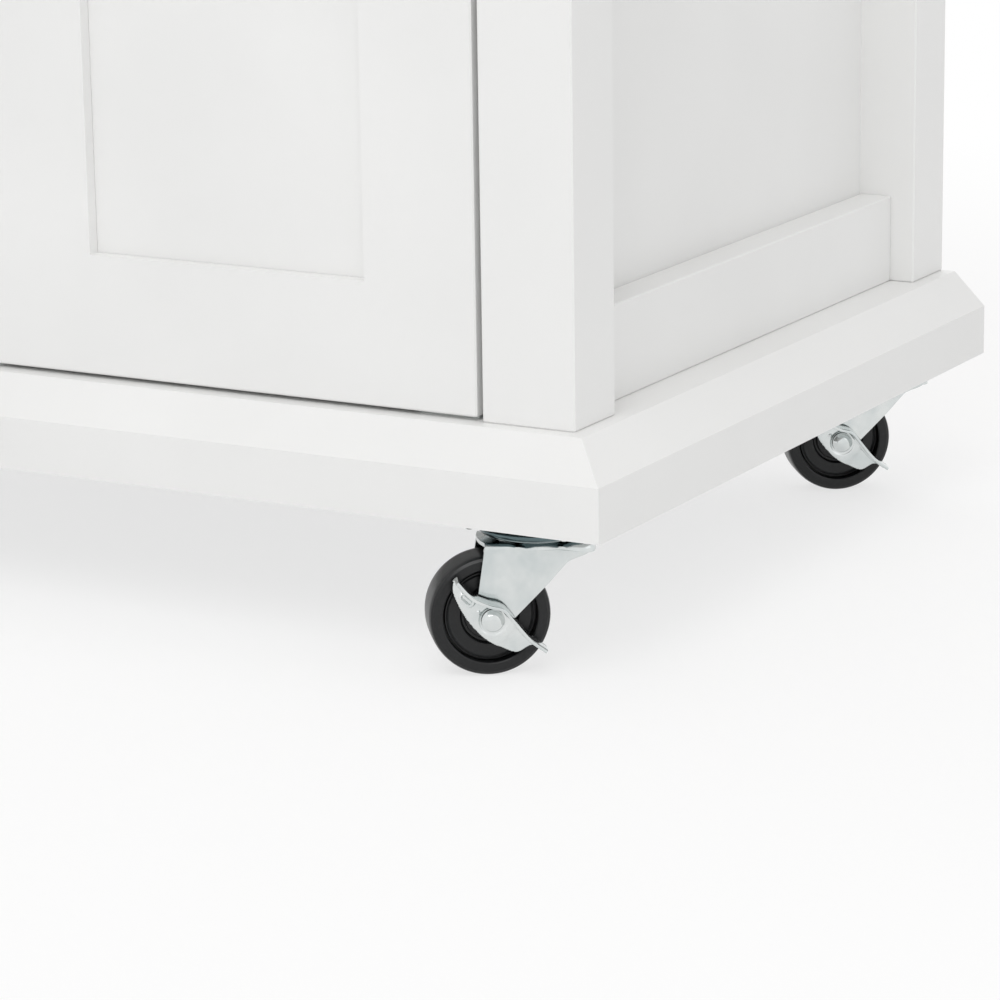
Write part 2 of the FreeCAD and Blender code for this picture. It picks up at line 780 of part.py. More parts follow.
def prop_arm_shape():
    """A wooden arm with round ends, hanging down from its pivot at the origin."""
    radius = mm("prop_half_width")
    reach = mm("prop_reach")
    half = mm("prop_thickness") / 2
    along = Vector(1, 0, 0)
    head = cylinder(radius, 2 * half, Vector(-half, 0, 0), along)
    foot = cylinder(radius, 2 * half, Vector(-half, 0, -reach), along)
    shank = Part.makeBox(2 * half, 2 * radius, reach, Vector(-half, -radius, -reach))
    bore = cylinder(mm("prop_pin_radius") + mm("running_gap"), 2 * half, Vector(-half, 0, 0), along)
    return head.fuse([foot, shank]).removeSplitter().cut(bore)


def prop_bracket_shape():
    """A bent steel bracket: a plate on the post and two ears around the arm."""
    sheet_size = mm("bracket_sheet")
    post_face = -(mm("prop_line_y") - mm("body_back"))
    ear_gap = mm("prop_thickness") / 2 + mm("prop_play")
    ear_radius = 10.0
    plate_width = 44.0
    plate_height = 60.0
    corner = Vector(-plate_width / 2, post_face, -plate_height / 2)
    pieces = [Part.makeBox(plate_width, sheet_size, plate_height, corner)]
    for side in (-1, 1):
        x = ear_gap if side > 0 else -ear_gap - sheet_size
        along = Vector(1, 0, 0)
        nose = cylinder(ear_radius, sheet_size, Vector(x, 0, 0), along)
        web_corner = Vector(x, post_face, -ear_radius)
        web = Part.makeBox(sheet_size, -post_face, 2 * ear_radius, web_corner)
        pieces.append(nose.fuse(web))
    bore = cylinder(mm("prop_pin_radius"), plate_width, Vector(-plate_width / 2, 0, 0), Vector(1, 0, 0))
    return pieces[0].fuse(pieces[1:]).removeSplitter().cut(bore)


def prop_pin_shape():
    """The pivot bolt: a shaft through both ears, a round head inside and a nut outside."""
    reach = mm("prop_thickness") / 2 + mm("prop_play") + mm("bracket_sheet")
    radius = mm("prop_pin_radius")
    along = Vector(1, 0, 0)
    shaft = cylinder(radius, 2 * reach + 5, Vector(-reach, 0, 0), along)
    head = cylinder(radius * 1.8, 2.4, Vector(-reach - 2.4, 0, 0), along)
    nut = hexagon(radius * 1.75, 4.0, Vector(reach, 0, 0), along)
    return shaft.fuse([head, nut])


def hexagon(radius, height, base, direction):
    """A nut-like six-sided block, without its thread."""
    turn = Rotation(Vector(0, 0, 1), direction)
    points = []
    for i in range(6):
        angle = math.radians(60 * i)
        flat = Vector(radius * math.cos(angle), radius * math.sin(angle), 0)
        points.append(base + turn.multVec(flat))
    return slab(points, direction * height)


# ---------------------------------------------------------------- casters

def caster_plate_shape():
    """Mounting plate, upper race and kingpin. The origin lies on the floor below the kingpin."""
    top = mm("caster_height")
    sheet_size = mm("caster_sheet") + 0.5
    length = mm("caster_plate_length")
    width = mm("caster_plate_width")
    corner = Vector(-length / 2, -width / 2, top - sheet_size)
    plate = Part.makeBox(length, width, sheet_size, corner)
    uprights = [e for e in plate.Edges if abs(e.tangentAt(e.FirstParameter).z) > 0.9]
    plate = plate.makeFillet(6.0, uprights)
    crown_top = crown_level() + mm("caster_sheet")
    race_gap = mm("race_gap")
    race = Part.makeCone(
        mm("crown_radius") * 0.92, mm("crown_radius") * 0.99,
        top - sheet_size - crown_top - race_gap,
        Vector(0, 0, crown_top + race_gap))
    pin_radius = mm("kingpin_radius")
    pin_foot = crown_level() - 3.2
    pin = cylinder(pin_radius, top - sheet_size - pin_foot, Vector(0, 0, pin_foot))
    head = Part.makeCone(pin_radius * 1.2, pin_radius * 1.7, 2.6, Vector(0, 0, pin_foot - 0.4))
    return plate.fuse([race, pin, head]).removeSplitter()


def crown_level():
    """Underside of the fork's crown, a little above the wheel."""
    return 2 * mm("wheel_radius") + mm("wheel_headroom")


def fork_shape():
    """A fork pressed from one sheet: a round crown with a drooping front lip and two legs."""
    sheet_size = mm("caster_sheet")
    half = mm("fork_half_width")
    trail = mm("trail")
    crown = mm("crown_radius")
    axle_height = mm("wheel_radius")
    level = crown_level()
    boss = 8.0
    back = -trail - 2.6
    disc = cylinder(crown, sheet_size, Vector(0, 0, level))
    limit = Part.makeBox(2 * crown, 2 * half, 40, Vector(-crown, -half, level - 20))
    shoulder = Part.makeBox(-back, 2 * half, sheet_size, Vector(back, -half, level))
    flat = disc.common(limit).fuse(shoulder)
    lip_drop = mm("lip_drop")
    lip_foot = Vector(0, 0, level - lip_drop)
    ring = cylinder(crown, lip_drop, lip_foot).cut(cylinder(crown - sheet_size, lip_drop, lip_foot))
    lip = ring.common(Part.makeBox(crown, 2 * half, lip_drop, Vector(0, -half, level - lip_drop)))
    lip_reach = math.sqrt(crown ** 2 - half ** 2) - sheet_size * 0.4
    leg = leg_outline(back, boss, level, axle_height, trail, lip_reach, lip_drop)
    legs = []
    for side in (-1, 1):
        y = -half if side < 0 else half - sheet_size
        moved = leg.copy()
        moved.translate(Vector(0, y, 0))
        legs.append(moved.extrude(Vector(0, sheet_size, 0)))
    shape = flat.fuse([lip] + legs).removeSplitter()
    kingpin_hole = cylinder(
        mm("kingpin_radius") + mm("running_gap"), 60, Vector(0, 0, level - 20))
    axle_hole = cylinder(
        mm("axle_radius"), 4 * half, Vector(-trail, -2 * half, axle_height), Vector(0, 1, 0))
    return shape.cut(kingpin_hole).cut(axle_hole)


def leg_outline(back, boss, level, axle_height, trail, lip_reach, lip_drop):
    """A leg's face: straight edges down to a round boss at the axle, and a reach to the lip."""
    centre = Vector(-trail, 0, axle_height)
    top = level + mm("caster_sheet") / 2
    rear_top = Vector(back, 0, top)
    knee_reach = 14.0
    knee_drop = 7.0
    front_top = Vector(lip_reach, 0, top)
    front_lip = Vector(lip_reach, 0, level - lip_drop / 2)
    front_knee = Vector(knee_reach, 0, level - knee_drop)
    rise = Vector(knee_reach + 3.5, 0, level - 0.62 * knee_drop)
    rear_touch = tangent_point(centre, boss, rear_top, 1)
    front_touch = tangent_point(centre, boss, front_knee, -1)
    bottom = centre + Vector(0, 0, -boss)
    edges = [
        Part.LineSegment(rear_top, rear_touch).toShape(),
        Part.Arc(rear_touch, bottom, front_touch).toShape(),
        Part.LineSegment(front_touch, front_knee).toShape(),
        Part.Arc(front_knee, rise, front_lip).toShape(),
        Part.LineSegment(front_lip, front_top).toShape(),
        Part.LineSegment(front_top, rear_top).toShape(),
    ]
    return Part.Face(Part.Wire(edges))


def tangent_point(centre, radius, outside, hand):
    """Where a line from an outside point touches a circle that lies in the XZ plane."""
    to_point = outside - centre
    distance = to_point.Length
    heading = math.atan2(to_point.z, to_point.x)
    angle = heading + hand * math.acos(radius / distance)
    return centre + Vector(radius * math.cos(angle), 0, radius * math.sin(angle))


def wheel_shape():
    """A moulded wheel: crowned tyre, recessed web and hub."""
    radius = mm("wheel_radius")
    half = mm("wheel_width") / 2
    bore = mm("axle_radius") + mm("running_gap")
    hub = 7.0
    hub_half = half + 0.8
    boss = 12.0
    rim = radius * 0.745
    web = half - 3.5
    shoulder = 3.0
    right = [
        (bore, hub_half), (hub, hub_half), (hub + 1, half - 1.5), (boss, half - 2.5),
        (boss + 0.6, web), (rim - 1.5, web), (rim, half - 0.6), (rim + 1, half),
        (radius - shoulder, half), (radius - 0.8, half - shoulder), (radius, half / 3),
    ]
    left = [(r, -y) for r, y in reversed(right)]
    return turned(right + left)


def axle_shape():
    """The axle bolt: domed head on the lever's side, spacer collar, shaft and nut."""
    half = mm("fork_half_width")
    radius = mm("axle_radius")
    collar = mm("axle_collar")
    outer = -half - collar - mm("brake_sheet") - 2 * mm("brake_play")
    along = Vector(0, 1, 0)
    shaft = cylinder(radius, half + 5.5 - outer, Vector(0, outer, 0), along)
    spacer = cylinder(radius + 2, collar, Vector(0, -half - collar, 0), along)
    dome_height = 2.8
    dome_width = 5.5
    head = turned([(0, outer)] + domed_end(dome_width, outer, outer - dome_height))
    nut = hexagon(6.4, 4.0, Vector(0, half, 0), along)
    return shaft.fuse([spacer, head, nut])


def brake_shape():
    """The brake lever: a leaf-shaped plate on the axle with a foot flange along its upper edge."""
    sheet_size = mm("brake_sheet")
    flange_width = 7.4
    face = -mm("fork_half_width") - mm("axle_collar") - mm("brake_play")
    upper = [
        Vector(-17.0, face, 21.5),
        Vector(-10.5, face, 13.8),
        Vector(-2.5, face, 9.6),
        Vector(4.5, face, 7.2),
        Vector(9.8, face, 0.5),
        Vector(16.8, face, -8.6),
        Vector(25.6, face, -15.6),
    ]
    thickness = Vector(-1.0, 0, -1.25)
    heel_foot = upper[-1] + thickness
    lower = [
        heel_foot,
        Vector(18.3, face, -13.4),
        Vector(11.5, face, -16.2),
        Vector(5.0, face, -14.0),
        Vector(-4.0, face, -8.6),
        Vector(-12.2, face, 0.9),
        Vector(-17.6, face, 11.5),
    ]
    top_edge = spline(upper)
    heel = Part.LineSegment(upper[-1], heel_foot).toShape()
    belly = spline(lower)
    tip = Part.Arc(lower[-1], Vector(-18.4, face, 17.0), upper[0]).toShape()
    plate = Part.Face(Part.Wire([top_edge, heel, belly, tip]))
    plate = plate.extrude(Vector(0, -sheet_size, 0))
    inner = [point + thickness for point in upper]
    strip_ends = [
        Part.LineSegment(upper[-1], inner[-1]).toShape(),
        Part.LineSegment(inner[0], upper[0]).toShape(),
    ]
    strip = Part.Face(Part.Wire([top_edge, strip_ends[0], spline(inner[::-1]), strip_ends[1]]))
    flange = strip.extrude(Vector(0, -flange_width, 0))
    hole = cylinder(
        mm("axle_radius") + mm("running_gap"), 4 * sheet_size,
        Vector(0, face + 2 * sheet_size, 0), Vector(0, -1, 0))
    return plate.fuse(flange).cut(hole)


def spline(points):
    curve = Part.BSplineCurve()
    curve.interpolate(points)
    return curve.toShape()


def make_casters():
    """Four alike casters, all turned the same way, each with a fork, wheel, axle and lever."""
    plates = []
    rows = (
        ("front", "@base_front_face + @caster_inset_end"),
        ("rear", "@base_front_face + @base_depth - @caster_inset_end"))
    fork = fork_shape()
    on_axle = (("wheel", wheel_shape()), ("axle", axle_shape()), ("brake", brake_shape()))
    for row, y in rows:
        for word, side in SIDES:
            x = f"{side} * (@base_width / 2 - @caster_inset_side)"
            corner = f"{row}_{word}"
            plates.append(feature(f"caster_plate_{corner}", caster_plate_shape(), (x, y, "0")))
            keep(feature(f"caster_{corner}_fork", fork.copy(), (x, y, "0"), "@caster_turn"))
            axle_spot = (
                f"{x} - @trail * cos(@caster_turn)",
                f"{y} - @trail * sin(@caster_turn)",
                "@wheel_radius")
            for piece, shape in on_axle:
                keep(feature(f"caster_{corner}_{piece}", shape.copy(), axle_spot, "@caster_turn"))
    gather("caster_plates", plates)


# ---------------------------------------------------------------- build and write

make_posts()
make_sides()
make_back()
make_inside()
make_shelf_pins()
make_base()
for side_word, side_sign in SIDES:
    make_door(side_word, side_sign)
make_pivots()
make_drawer()
make_top()
make_props()
make_casters()
doc.recompute()

faults = []
for item in doc.Objects:
    if "Invalid" in item.State or "Error" in item.State:
        faults.append(f"{item.Label}: {item.State}")
for node in nodes:
    if node.Shape.isNull() or not node.Shape.isValid():
        faults.append(f"{node.Label}: no valid shape")
if faults:
    raise RuntimeError("\n".join(faults))

os.makedirs("parts", exist_ok=True)
for node in nodes:
    node.Shape.exportStep(f"parts/{node.Label}.step")
    print(node.Label, len(node.Shape.Solids), round(node.Shape.Volume))
print(len(nodes), "nodes")
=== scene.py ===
"""Looks of the rolling kitchen island: finishes, screws, casters, stage and camera."""
import math

import bmesh
import bpy
from mathutils import Matrix, Vector


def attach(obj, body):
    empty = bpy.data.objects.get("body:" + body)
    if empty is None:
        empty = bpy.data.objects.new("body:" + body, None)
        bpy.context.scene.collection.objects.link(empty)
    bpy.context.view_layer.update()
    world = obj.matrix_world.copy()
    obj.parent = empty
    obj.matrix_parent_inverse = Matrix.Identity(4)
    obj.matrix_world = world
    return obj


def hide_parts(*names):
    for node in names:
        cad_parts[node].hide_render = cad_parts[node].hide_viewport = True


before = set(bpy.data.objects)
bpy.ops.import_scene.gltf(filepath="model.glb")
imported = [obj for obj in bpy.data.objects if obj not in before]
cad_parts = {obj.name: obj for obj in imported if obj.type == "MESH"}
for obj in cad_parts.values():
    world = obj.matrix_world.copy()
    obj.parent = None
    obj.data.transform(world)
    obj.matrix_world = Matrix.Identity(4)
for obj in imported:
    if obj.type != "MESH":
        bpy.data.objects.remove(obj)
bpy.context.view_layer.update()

MM = 0.001

# Sizes and places of the construction, in millimetres; the casters' turn is in degrees.
CASTER_TURN = 37.9
CASTER_SPOT_X = 305.4
CASTER_SPOT_Y = {"front": -223.575, "rear": 169.425}
CASTER_HEIGHT = 73
TRAIL = 23.7
WHEEL_RADIUS = 29
FORK_HALF = 14
CROWN_RADIUS = 28
PLATE_LENGTH = 60
PLATE_WIDTH = 48
LEVER_FACE = 16.3
LEVER_SHEET = 1.6
BODY_FRONT = -230.175
BODY_BACK = 201.425
FRONT_THICKNESS = 19
DRAWER_BOARD = 12
DOOR_KNOB_X = 31.5
DOOR_KNOB_Z = 654
DRAWER_KNOB_X = 138.25
DRAWER_KNOB_Z = 824.5
SLIDE_FACE_X = 281.5
SLIDE_Z = 820
HINGE_Y = 240.175
HINGE_Z = 887
HINGE_SPACING = 230
PROP_X = 305.5
PROP_Z = 737
BRACKET_SHEET = 2
STOP_Z = 741.3

# Sizes drawn closer to the photograph than the construction has them, in millimetres.
CROWN_TOP = 64.8
FORK_SHEET = 1.8
PLATE_UNDERSIDE = 70.5


# ---------------------------------------------------------------- colour and nodes

def srgb(text):
    """A hex colour as linear red, green, blue and alpha."""
    parts = [int(text[i:i + 2], 16) / 255 for i in (1, 3, 5)]
    linear = [c / 12.92 if c <= 0.04045 else ((c + 0.055) / 1.055) ** 2.4 for c in parts]
    return (*linear, 1.0)


def node(tree, kind, inputs=None, **settings):
    """One node with its settings; an input is a value or another node's output to link."""
    made = tree.nodes.new(kind)
    for name, value in settings.items():
        setattr(made, name, value)
    for key, value in (inputs or {}).items():
        if isinstance(value, bpy.types.NodeSocket):
            tree.links.new(value, made.inputs[key])
        else:
            made.inputs[key].default_value = value
    return made


def new_material(name):
    """An empty material, its tree, its shader and the place of each point in metres."""
    made = bpy.data.materials.new(name)
    made.use_nodes = True
    tree = made.node_tree
    tree.nodes.clear()
    shader = node(tree, "ShaderNodeBsdfPrincipled")
    node(tree, "ShaderNodeOutputMaterial", {"Surface": shader.outputs["BSDF"]})
    place = node(tree, "ShaderNodeTexCoord").outputs["Object"]
    return made, tree, shader, place


def set_ramp(ramp, stops):
    """Stops of a colour ramp as (position, hex colour)."""
    elements = ramp.color_ramp.elements
    while len(elements) < len(stops):
        elements.new(0.5)
    for element, (position, colour) in zip(elements, stops):
        element.position = position
        element.color = srgb(colour)


def link(tree, output, shader, name):
    """Feed an output into the shader's input of that name."""
    tree.links.new(output, shader.inputs[name])


# ---------------------------------------------------------------- finishes

def white_lacquer(name, along):
    """Sprayed satin lacquer on wood: nearly even, with a soft orange peel and faint grain below.

    along is the stretch of the grain that telegraphs through, as X, Y and Z factors.
    """
    made, tree, shader, place = new_material(name)
    # clouding of the coat over about 120 mm, which is barely seen
    cloud = node(tree, "ShaderNodeTexNoise", {"Vector": place, "Scale": 8.0, "Detail": 2.0})
    tone = node(tree, "ShaderNodeValToRGB", {"Fac": cloud.outputs["Fac"]})
    set_ramp(tone, [(0.3, "#EEEEED"), (0.7, "#F2F2F1")])
    link(tree, tone.outputs["Color"], shader, "Base Color")
    stretched = node(tree, "ShaderNodeMapping", {"Vector": place, "Scale": along})
    # grain lines every 2 mm or so, drawn coarser than life so that they show
    grain = node(tree, "ShaderNodeTexNoise", {
        "Vector": stretched.outputs["Vector"], "Scale": 420.0, "Detail": 3.0, "Roughness": 0.55})
    # orange peel with dimples of about 3 mm
    peel = node(tree, "ShaderNodeTexNoise", {"Vector": place, "Scale": 330.0, "Detail": 1.0})
    first = node(tree, "ShaderNodeBump", {
        "Height": grain.outputs["Fac"], "Strength": 0.12, "Distance": 0.00035})
    second = node(tree, "ShaderNodeBump", {
        "Height": peel.outputs["Fac"], "Strength": 0.10, "Distance": 0.00025,
        "Normal": first.outputs["Normal"]})
    link(tree, second.outputs["Normal"], shader, "Normal")
    sheen = node(tree, "ShaderNodeMapRange", {
        "Value": cloud.outputs["Fac"], "To Min": 0.36, "To Max": 0.44})
    link(tree, sheen.outputs["Result"], shader, "Roughness")
    shader.inputs["IOR"].default_value = 1.48
    return made


def lacquered_staves(name, turn, light, dark):
    """Clear satin lacquer on edge-glued hardwood: staves 45 mm wide with their own tone and grain.

    turn lays the pattern over a board that stands on edge.
    """
    made, tree, shader, place = new_material(name)
    lying = node(tree, "ShaderNodeMapping", {"Vector": place, "Rotation": turn})
    # staves 420 mm long and 45 mm wide, glued end to end in rows that are shifted
    rows = {"Vector": lying.outputs["Vector"], "Scale": 1.0,
            "Brick Width": 420 * MM, "Row Height": 45 * MM}
    shifted = {"offset": 0.37, "offset_frequency": 2}
    staves = node(tree, "ShaderNodeTexBrick", {
        **rows, "Color1": (0, 0, 0, 1), "Color2": (1, 1, 1, 1), "Mortar": (0.5, 0.5, 0.5, 1),
        "Mortar Size": 0.0, "Bias": 0.0}, **shifted)
    joints = node(tree, "ShaderNodeTexBrick", {
        **rows, "Mortar Size": 0.4 * MM, "Mortar Smooth": 0.3}, **shifted)
    shift = node(tree, "ShaderNodeVectorMath", {
        0: staves.outputs["Color"], 1: (3.7, 5.3, 2.9)}, operation="MULTIPLY")
    moved = node(tree, "ShaderNodeVectorMath", {
        0: lying.outputs["Vector"], 1: shift.outputs["Vector"]}, operation="ADD")
    # growth rings: uneven bands about 12 mm apart across the stave, drawn out along it
    drawn = node(tree, "ShaderNodeMapping", {
        "Vector": moved.outputs["Vector"], "Scale": (0.07, 1.0, 0.6)})
    rings = node(tree, "ShaderNodeTexWave", {
        "Vector": drawn.outputs["Vector"], "Scale": 27.0, "Distortion": 4.5, "Detail": 2.0,
        "Detail Scale": 0.6, "Detail Roughness": 0.5}, wave_type="BANDS", bands_direction="Y")
    # pores: dark dashes about 0.7 mm wide and 20 mm long
    dashed = node(tree, "ShaderNodeMapping", {
        "Vector": moved.outputs["Vector"], "Scale": (0.035, 1.0, 1.0)})
    pores = node(tree, "ShaderNodeTexNoise", {
        "Vector": dashed.outputs["Vector"], "Scale": 1500.0, "Detail": 2.0, "Roughness": 0.7})
    pore_line = node(tree, "ShaderNodeMapRange", {
        "Value": pores.outputs["Fac"], "From Min": 0.56, "From Max": 0.72})
    body = node(tree, "ShaderNodeMix", {
        "Factor": rings.outputs["Fac"], "A": srgb(light), "B": srgb(dark)}, data_type="RGBA")
    tint = node(tree, "ShaderNodeMapRange", {
        "Value": staves.outputs["Color"], "To Min": 0.80, "To Max": 1.14})
    toned = node(tree, "ShaderNodeVectorMath", {
        0: body.outputs["Result"], 1: tint.outputs["Result"]}, operation="MULTIPLY")
    pored = node(tree, "ShaderNodeMix", {
        "Factor": pore_line.outputs["Result"], "A": toned.outputs["Vector"],
        "B": srgb("#6B4526")}, data_type="RGBA", clamp_factor=True)
    soften = node(tree, "ShaderNodeMix", {
        "Factor": 0.55, "A": toned.outputs["Vector"], "B": pored.outputs["Result"]},
        data_type="RGBA")
    glued = node(tree, "ShaderNodeMix", {
        "Factor": joints.outputs["Fac"], "A": soften.outputs["Result"],
        "B": srgb("#7A5230")}, data_type="RGBA")
    link(tree, glued.outputs["Result"], shader, "Base Color")
    relief = node(tree, "ShaderNodeBump", {
        "Height": pore_line.outputs["Result"], "Strength": 0.25, "Distance": 0.0002},
        invert=True)
    link(tree, relief.outputs["Normal"], shader, "Normal")
    sheen = node(tree, "ShaderNodeMapRange", {
        "Value": rings.outputs["Fac"], "To Min": 0.34, "To Max": 0.46})
    link(tree, sheen.outputs["Result"], shader, "Roughness")
    shader.inputs["IOR"].default_value = 1.5
    return made


def sealed_plywood(name):
    """Birch plywood with a thin clear seal: pale, with a fine straight grain and open pores."""
    made, tree, shader, place = new_material(name)
    drawn = node(tree, "ShaderNodeMapping", {"Vector": place, "Scale": (0.06, 0.06, 1.0)})
    grain = node(tree, "ShaderNodeTexNoise", {
        "Vector": drawn.outputs["Vector"], "Scale": 260.0, "Detail": 4.0, "Roughness": 0.6})
    tone = node(tree, "ShaderNodeValToRGB", {"Fac": grain.outputs["Fac"]})
    set_ramp(tone, [(0.30, "#D9C39C"), (0.55, "#E6D5B4"), (0.75, "#EEDFC2")])
    link(tree, tone.outputs["Color"], shader, "Base Color")
    relief = node(tree, "ShaderNodeBump", {
        "Height": grain.outputs["Fac"], "Strength": 0.15, "Distance": 0.0002})
    link(tree, relief.outputs["Normal"], shader, "Normal")
    shader.inputs["Roughness"].default_value = 0.5
    return made


def zinc_plate(name, dark, light, roughness):
    """Bright zinc plating on pressed steel: bluish, with cloudy passivation and rolled streaks;
    dark tones make a copy darkened as painted shade.
    """
    made, tree, shader, place = new_material(name)
    # passivation clouds of about 15 mm
    cloud = node(tree, "ShaderNodeTexNoise", {
        "Vector": place, "Scale": 62.0, "Detail": 3.0, "Roughness": 0.55})
    tone = node(tree, "ShaderNodeValToRGB", {"Fac": cloud.outputs["Fac"]})
    set_ramp(tone, [(0.32, dark), (0.68, light)])
    link(tree, tone.outputs["Color"], shader, "Base Color")
    shader.inputs["Metallic"].default_value = 1.0
    # rolling marks 0.7 mm apart
    rolled = node(tree, "ShaderNodeMapping", {"Vector": place, "Scale": (0.15, 0.15, 1.0)})
    streaks = node(tree, "ShaderNodeTexNoise", {
        "Vector": rolled.outputs["Vector"], "Scale": 1400.0, "Detail": 2.0})
    rough = node(tree, "ShaderNodeMapRange", {
        "Value": cloud.outputs["Fac"], "To Min": roughness - 0.04, "To Max": roughness + 0.07})
    link(tree, rough.outputs["Result"], shader, "Roughness")
    relief = node(tree, "ShaderNodeBump", {
        "Height": streaks.outputs["Fac"], "Strength": 0.08, "Distance": 0.0001})
    link(tree, relief.outputs["Normal"], shader, "Normal")
    return made


def moulded_wheel(name):
    """Hard black polyolefin, moulded: dark grey with a fine grain and a slightly polished tread."""
    made, tree, shader, place = new_material(name)
    speck = node(tree, "ShaderNodeTexNoise", {
        "Vector": place, "Scale": 900.0, "Detail": 3.0, "Roughness": 0.7})
    tone = node(tree, "ShaderNodeValToRGB", {"Fac": speck.outputs["Fac"]})
    set_ramp(tone, [(0.35, "#141516"), (0.62, "#1B1C1D"), (0.75, "#262728")])
    link(tree, tone.outputs["Color"], shader, "Base Color")
    cloud = node(tree, "ShaderNodeTexNoise", {"Vector": place, "Scale": 90.0, "Detail": 2.0})
    rough = node(tree, "ShaderNodeMapRange", {
        "Value": cloud.outputs["Fac"], "To Min": 0.24, "To Max": 0.38})
    link(tree, rough.outputs["Result"], shader, "Roughness")
    relief = node(tree, "ShaderNodeBump", {
        "Height": speck.outputs["Fac"], "Strength": 0.20, "Distance": 0.0002})
    link(tree, relief.outputs["Normal"], shader, "Normal")
    shader.inputs["IOR"].default_value = 1.42
    return made


def satin_nickel(name):
    """Nickel plating brushed to a satin: warm grey with fine turned lines."""
    made, tree, shader, place = new_material(name)
    # brushing lines 0.5 mm apart, drawn coarser than life
    drawn = node(tree, "ShaderNodeMapping", {"Vector": place, "Scale": (1.0, 1.0, 0.12)})
    lines = node(tree, "ShaderNodeTexNoise", {
        "Vector": drawn.outputs["Vector"], "Scale": 1800.0, "Detail": 2.0})
    tone = node(tree, "ShaderNodeValToRGB", {"Fac": lines.outputs["Fac"]})
    set_ramp(tone, [(0.3, "#BDB7AE"), (0.7, "#CBC6BD")])
    link(tree, tone.outputs["Color"], shader, "Base Color")
    shader.inputs["Metallic"].default_value = 1.0
    rough = node(tree, "ShaderNodeMapRange", {
        "Value": lines.outputs["Fac"], "To Min": 0.26, "To Max": 0.38})
    link(tree, rough.outputs["Result"], shader, "Roughness")
    return made


UPRIGHT_GRAIN = (1.0, 1.0, 0.05)
SIDEWAYS_GRAIN = (0.05, 1.0, 1.0)
DEEP_GRAIN = (1.0, 0.05, 1.0)
lacquer_upright = white_lacquer("sprayed_lacquer_upright", UPRIGHT_GRAIN)
lacquer_across = white_lacquer("sprayed_lacquer_across", SIDEWAYS_GRAIN)
lacquer_deep = white_lacquer("sprayed_lacquer_deep", DEEP_GRAIN)
top_staves = lacquered_staves("lacquered_staves_lying", (0, 0, 0), "#D2A877", "#BF9160")
leaf_staves = lacquered_staves(
    "lacquered_staves_standing", (math.radians(90), 0, 0), "#D2A877", "#BF9160")
plywood = sealed_plywood("sealed_birch_plywood")
zinc = zinc_plate("bright_zinc_plate", "#CDD3D3", "#DFE2E1", 0.14)
# the same zinc plating with dark tones: painted shade for the plates and races in the shadow under
# the base
zinc_painted_shade = zinc_plate("zinc_plate_painted_shade", "#4A575A", "#66777A", 0.13)
wheel_plastic = moulded_wheel("moulded_black_polyolefin")
nickel = satin_nickel("satin_nickel_plate")


# ---------------------------------------------------------------- finishes of the CAD nodes

def finish_of(name):
    """The material for a node of the construction."""
    if name == "worktop":
        return top_staves
    if name == "drop_leaf":
        return leaf_staves
    if name in ("drawer_box", "drawer_bottom"):
        return plywood
    if "knob" in name:
        return nickel
    if name.endswith("_wheel"):
        return wheel_plastic
    if name.startswith(("caster_", "leaf_hinge", "prop_brackets", "leaf_stops", "door_pivots",
                        "shelf_pins", "drawer_slide")) or "sockets" in name:
        return zinc
    if name in ("base_front", "base_back", "front_rail", "back_rails", "drawer_front", "shelf",
                "bottom_panel", "door_left_rails", "door_right_rails"):
        return lacquer_across
    if name in ("base_left", "base_right", "side_rails_left", "side_rails_right"):
        return lacquer_deep
    return lacquer_upright


for node_name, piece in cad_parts.items():
    finish = finish_of(node_name)
    if not piece.material_slots:
        piece.data.materials.append(finish)
    for holder in piece.material_slots:
        holder.material = finish


# ---------------------------------------------------------------- making pieces

def finished(name, shape, spot, turn, finish, body, nodes, sharp=32, bevel=None,
             segments=2):
    """A piece from a shape in millimetres, put in place in its mesh, that stands for CAD nodes."""
    place = Matrix.Translation(Vector(spot) * MM) @ Matrix.Rotation(math.radians(turn), 4, "Z")
    shape.transform(place @ Matrix.Scale(MM, 4))
    bmesh.ops.recalc_face_normals(shape, faces=shape.faces)
    mesh = bpy.data.meshes.new(name)
    shape.to_mesh(mesh)
    shape.free()
    made = bpy.data.objects.new(name, mesh)
    bpy.context.scene.collection.objects.link(made)
    mesh.materials.append(finish)
    if bevel:
        rounding = made.modifiers.new("rounding", "BEVEL")
        rounding.width = bevel * MM
        rounding.segments = segments
        rounding.angle_limit = math.radians(40)
    mesh.shade_smooth()
    mesh.set_sharp_from_angle(angle=math.radians(sharp))
    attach(made, body)
    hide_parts(*nodes)
    return made


def turned(profile, steps, axis="Y", closed=True):
    """A body of revolution from (radius, height) points about the local Y or Z axis."""
    shape = bmesh.new()
    rings = []
    for radius, height in profile:
        if radius < 1e-6:
            spot = (0, height, 0) if axis == "Y" else (0, 0, height)
            rings.append([shape.verts.new(spot)])
            continue
        ring = []
        for step in range(steps):
            angle = 2 * math.pi * step / steps
            across, along = radius * math.cos(angle), radius * math.sin(angle)
            spot = (across, height, along) if axis == "Y" else (across, along, height)
            ring.append(shape.verts.new(spot))
        rings.append(ring)
    pairs = list(zip(rings, rings[1:]))
    if closed:
        pairs.append((rings[-1], rings[0]))
    for low, high in pairs:
        for step in range(steps):
            after = (step + 1) % steps
            corners = [low[step % len(low)], low[after % len(low)],
                       high[after % len(high)], high[step % len(high)]]
            corners = list(dict.fromkeys(corners))
            if len(corners) > 2:
                shape.faces.new(corners)
    return shape


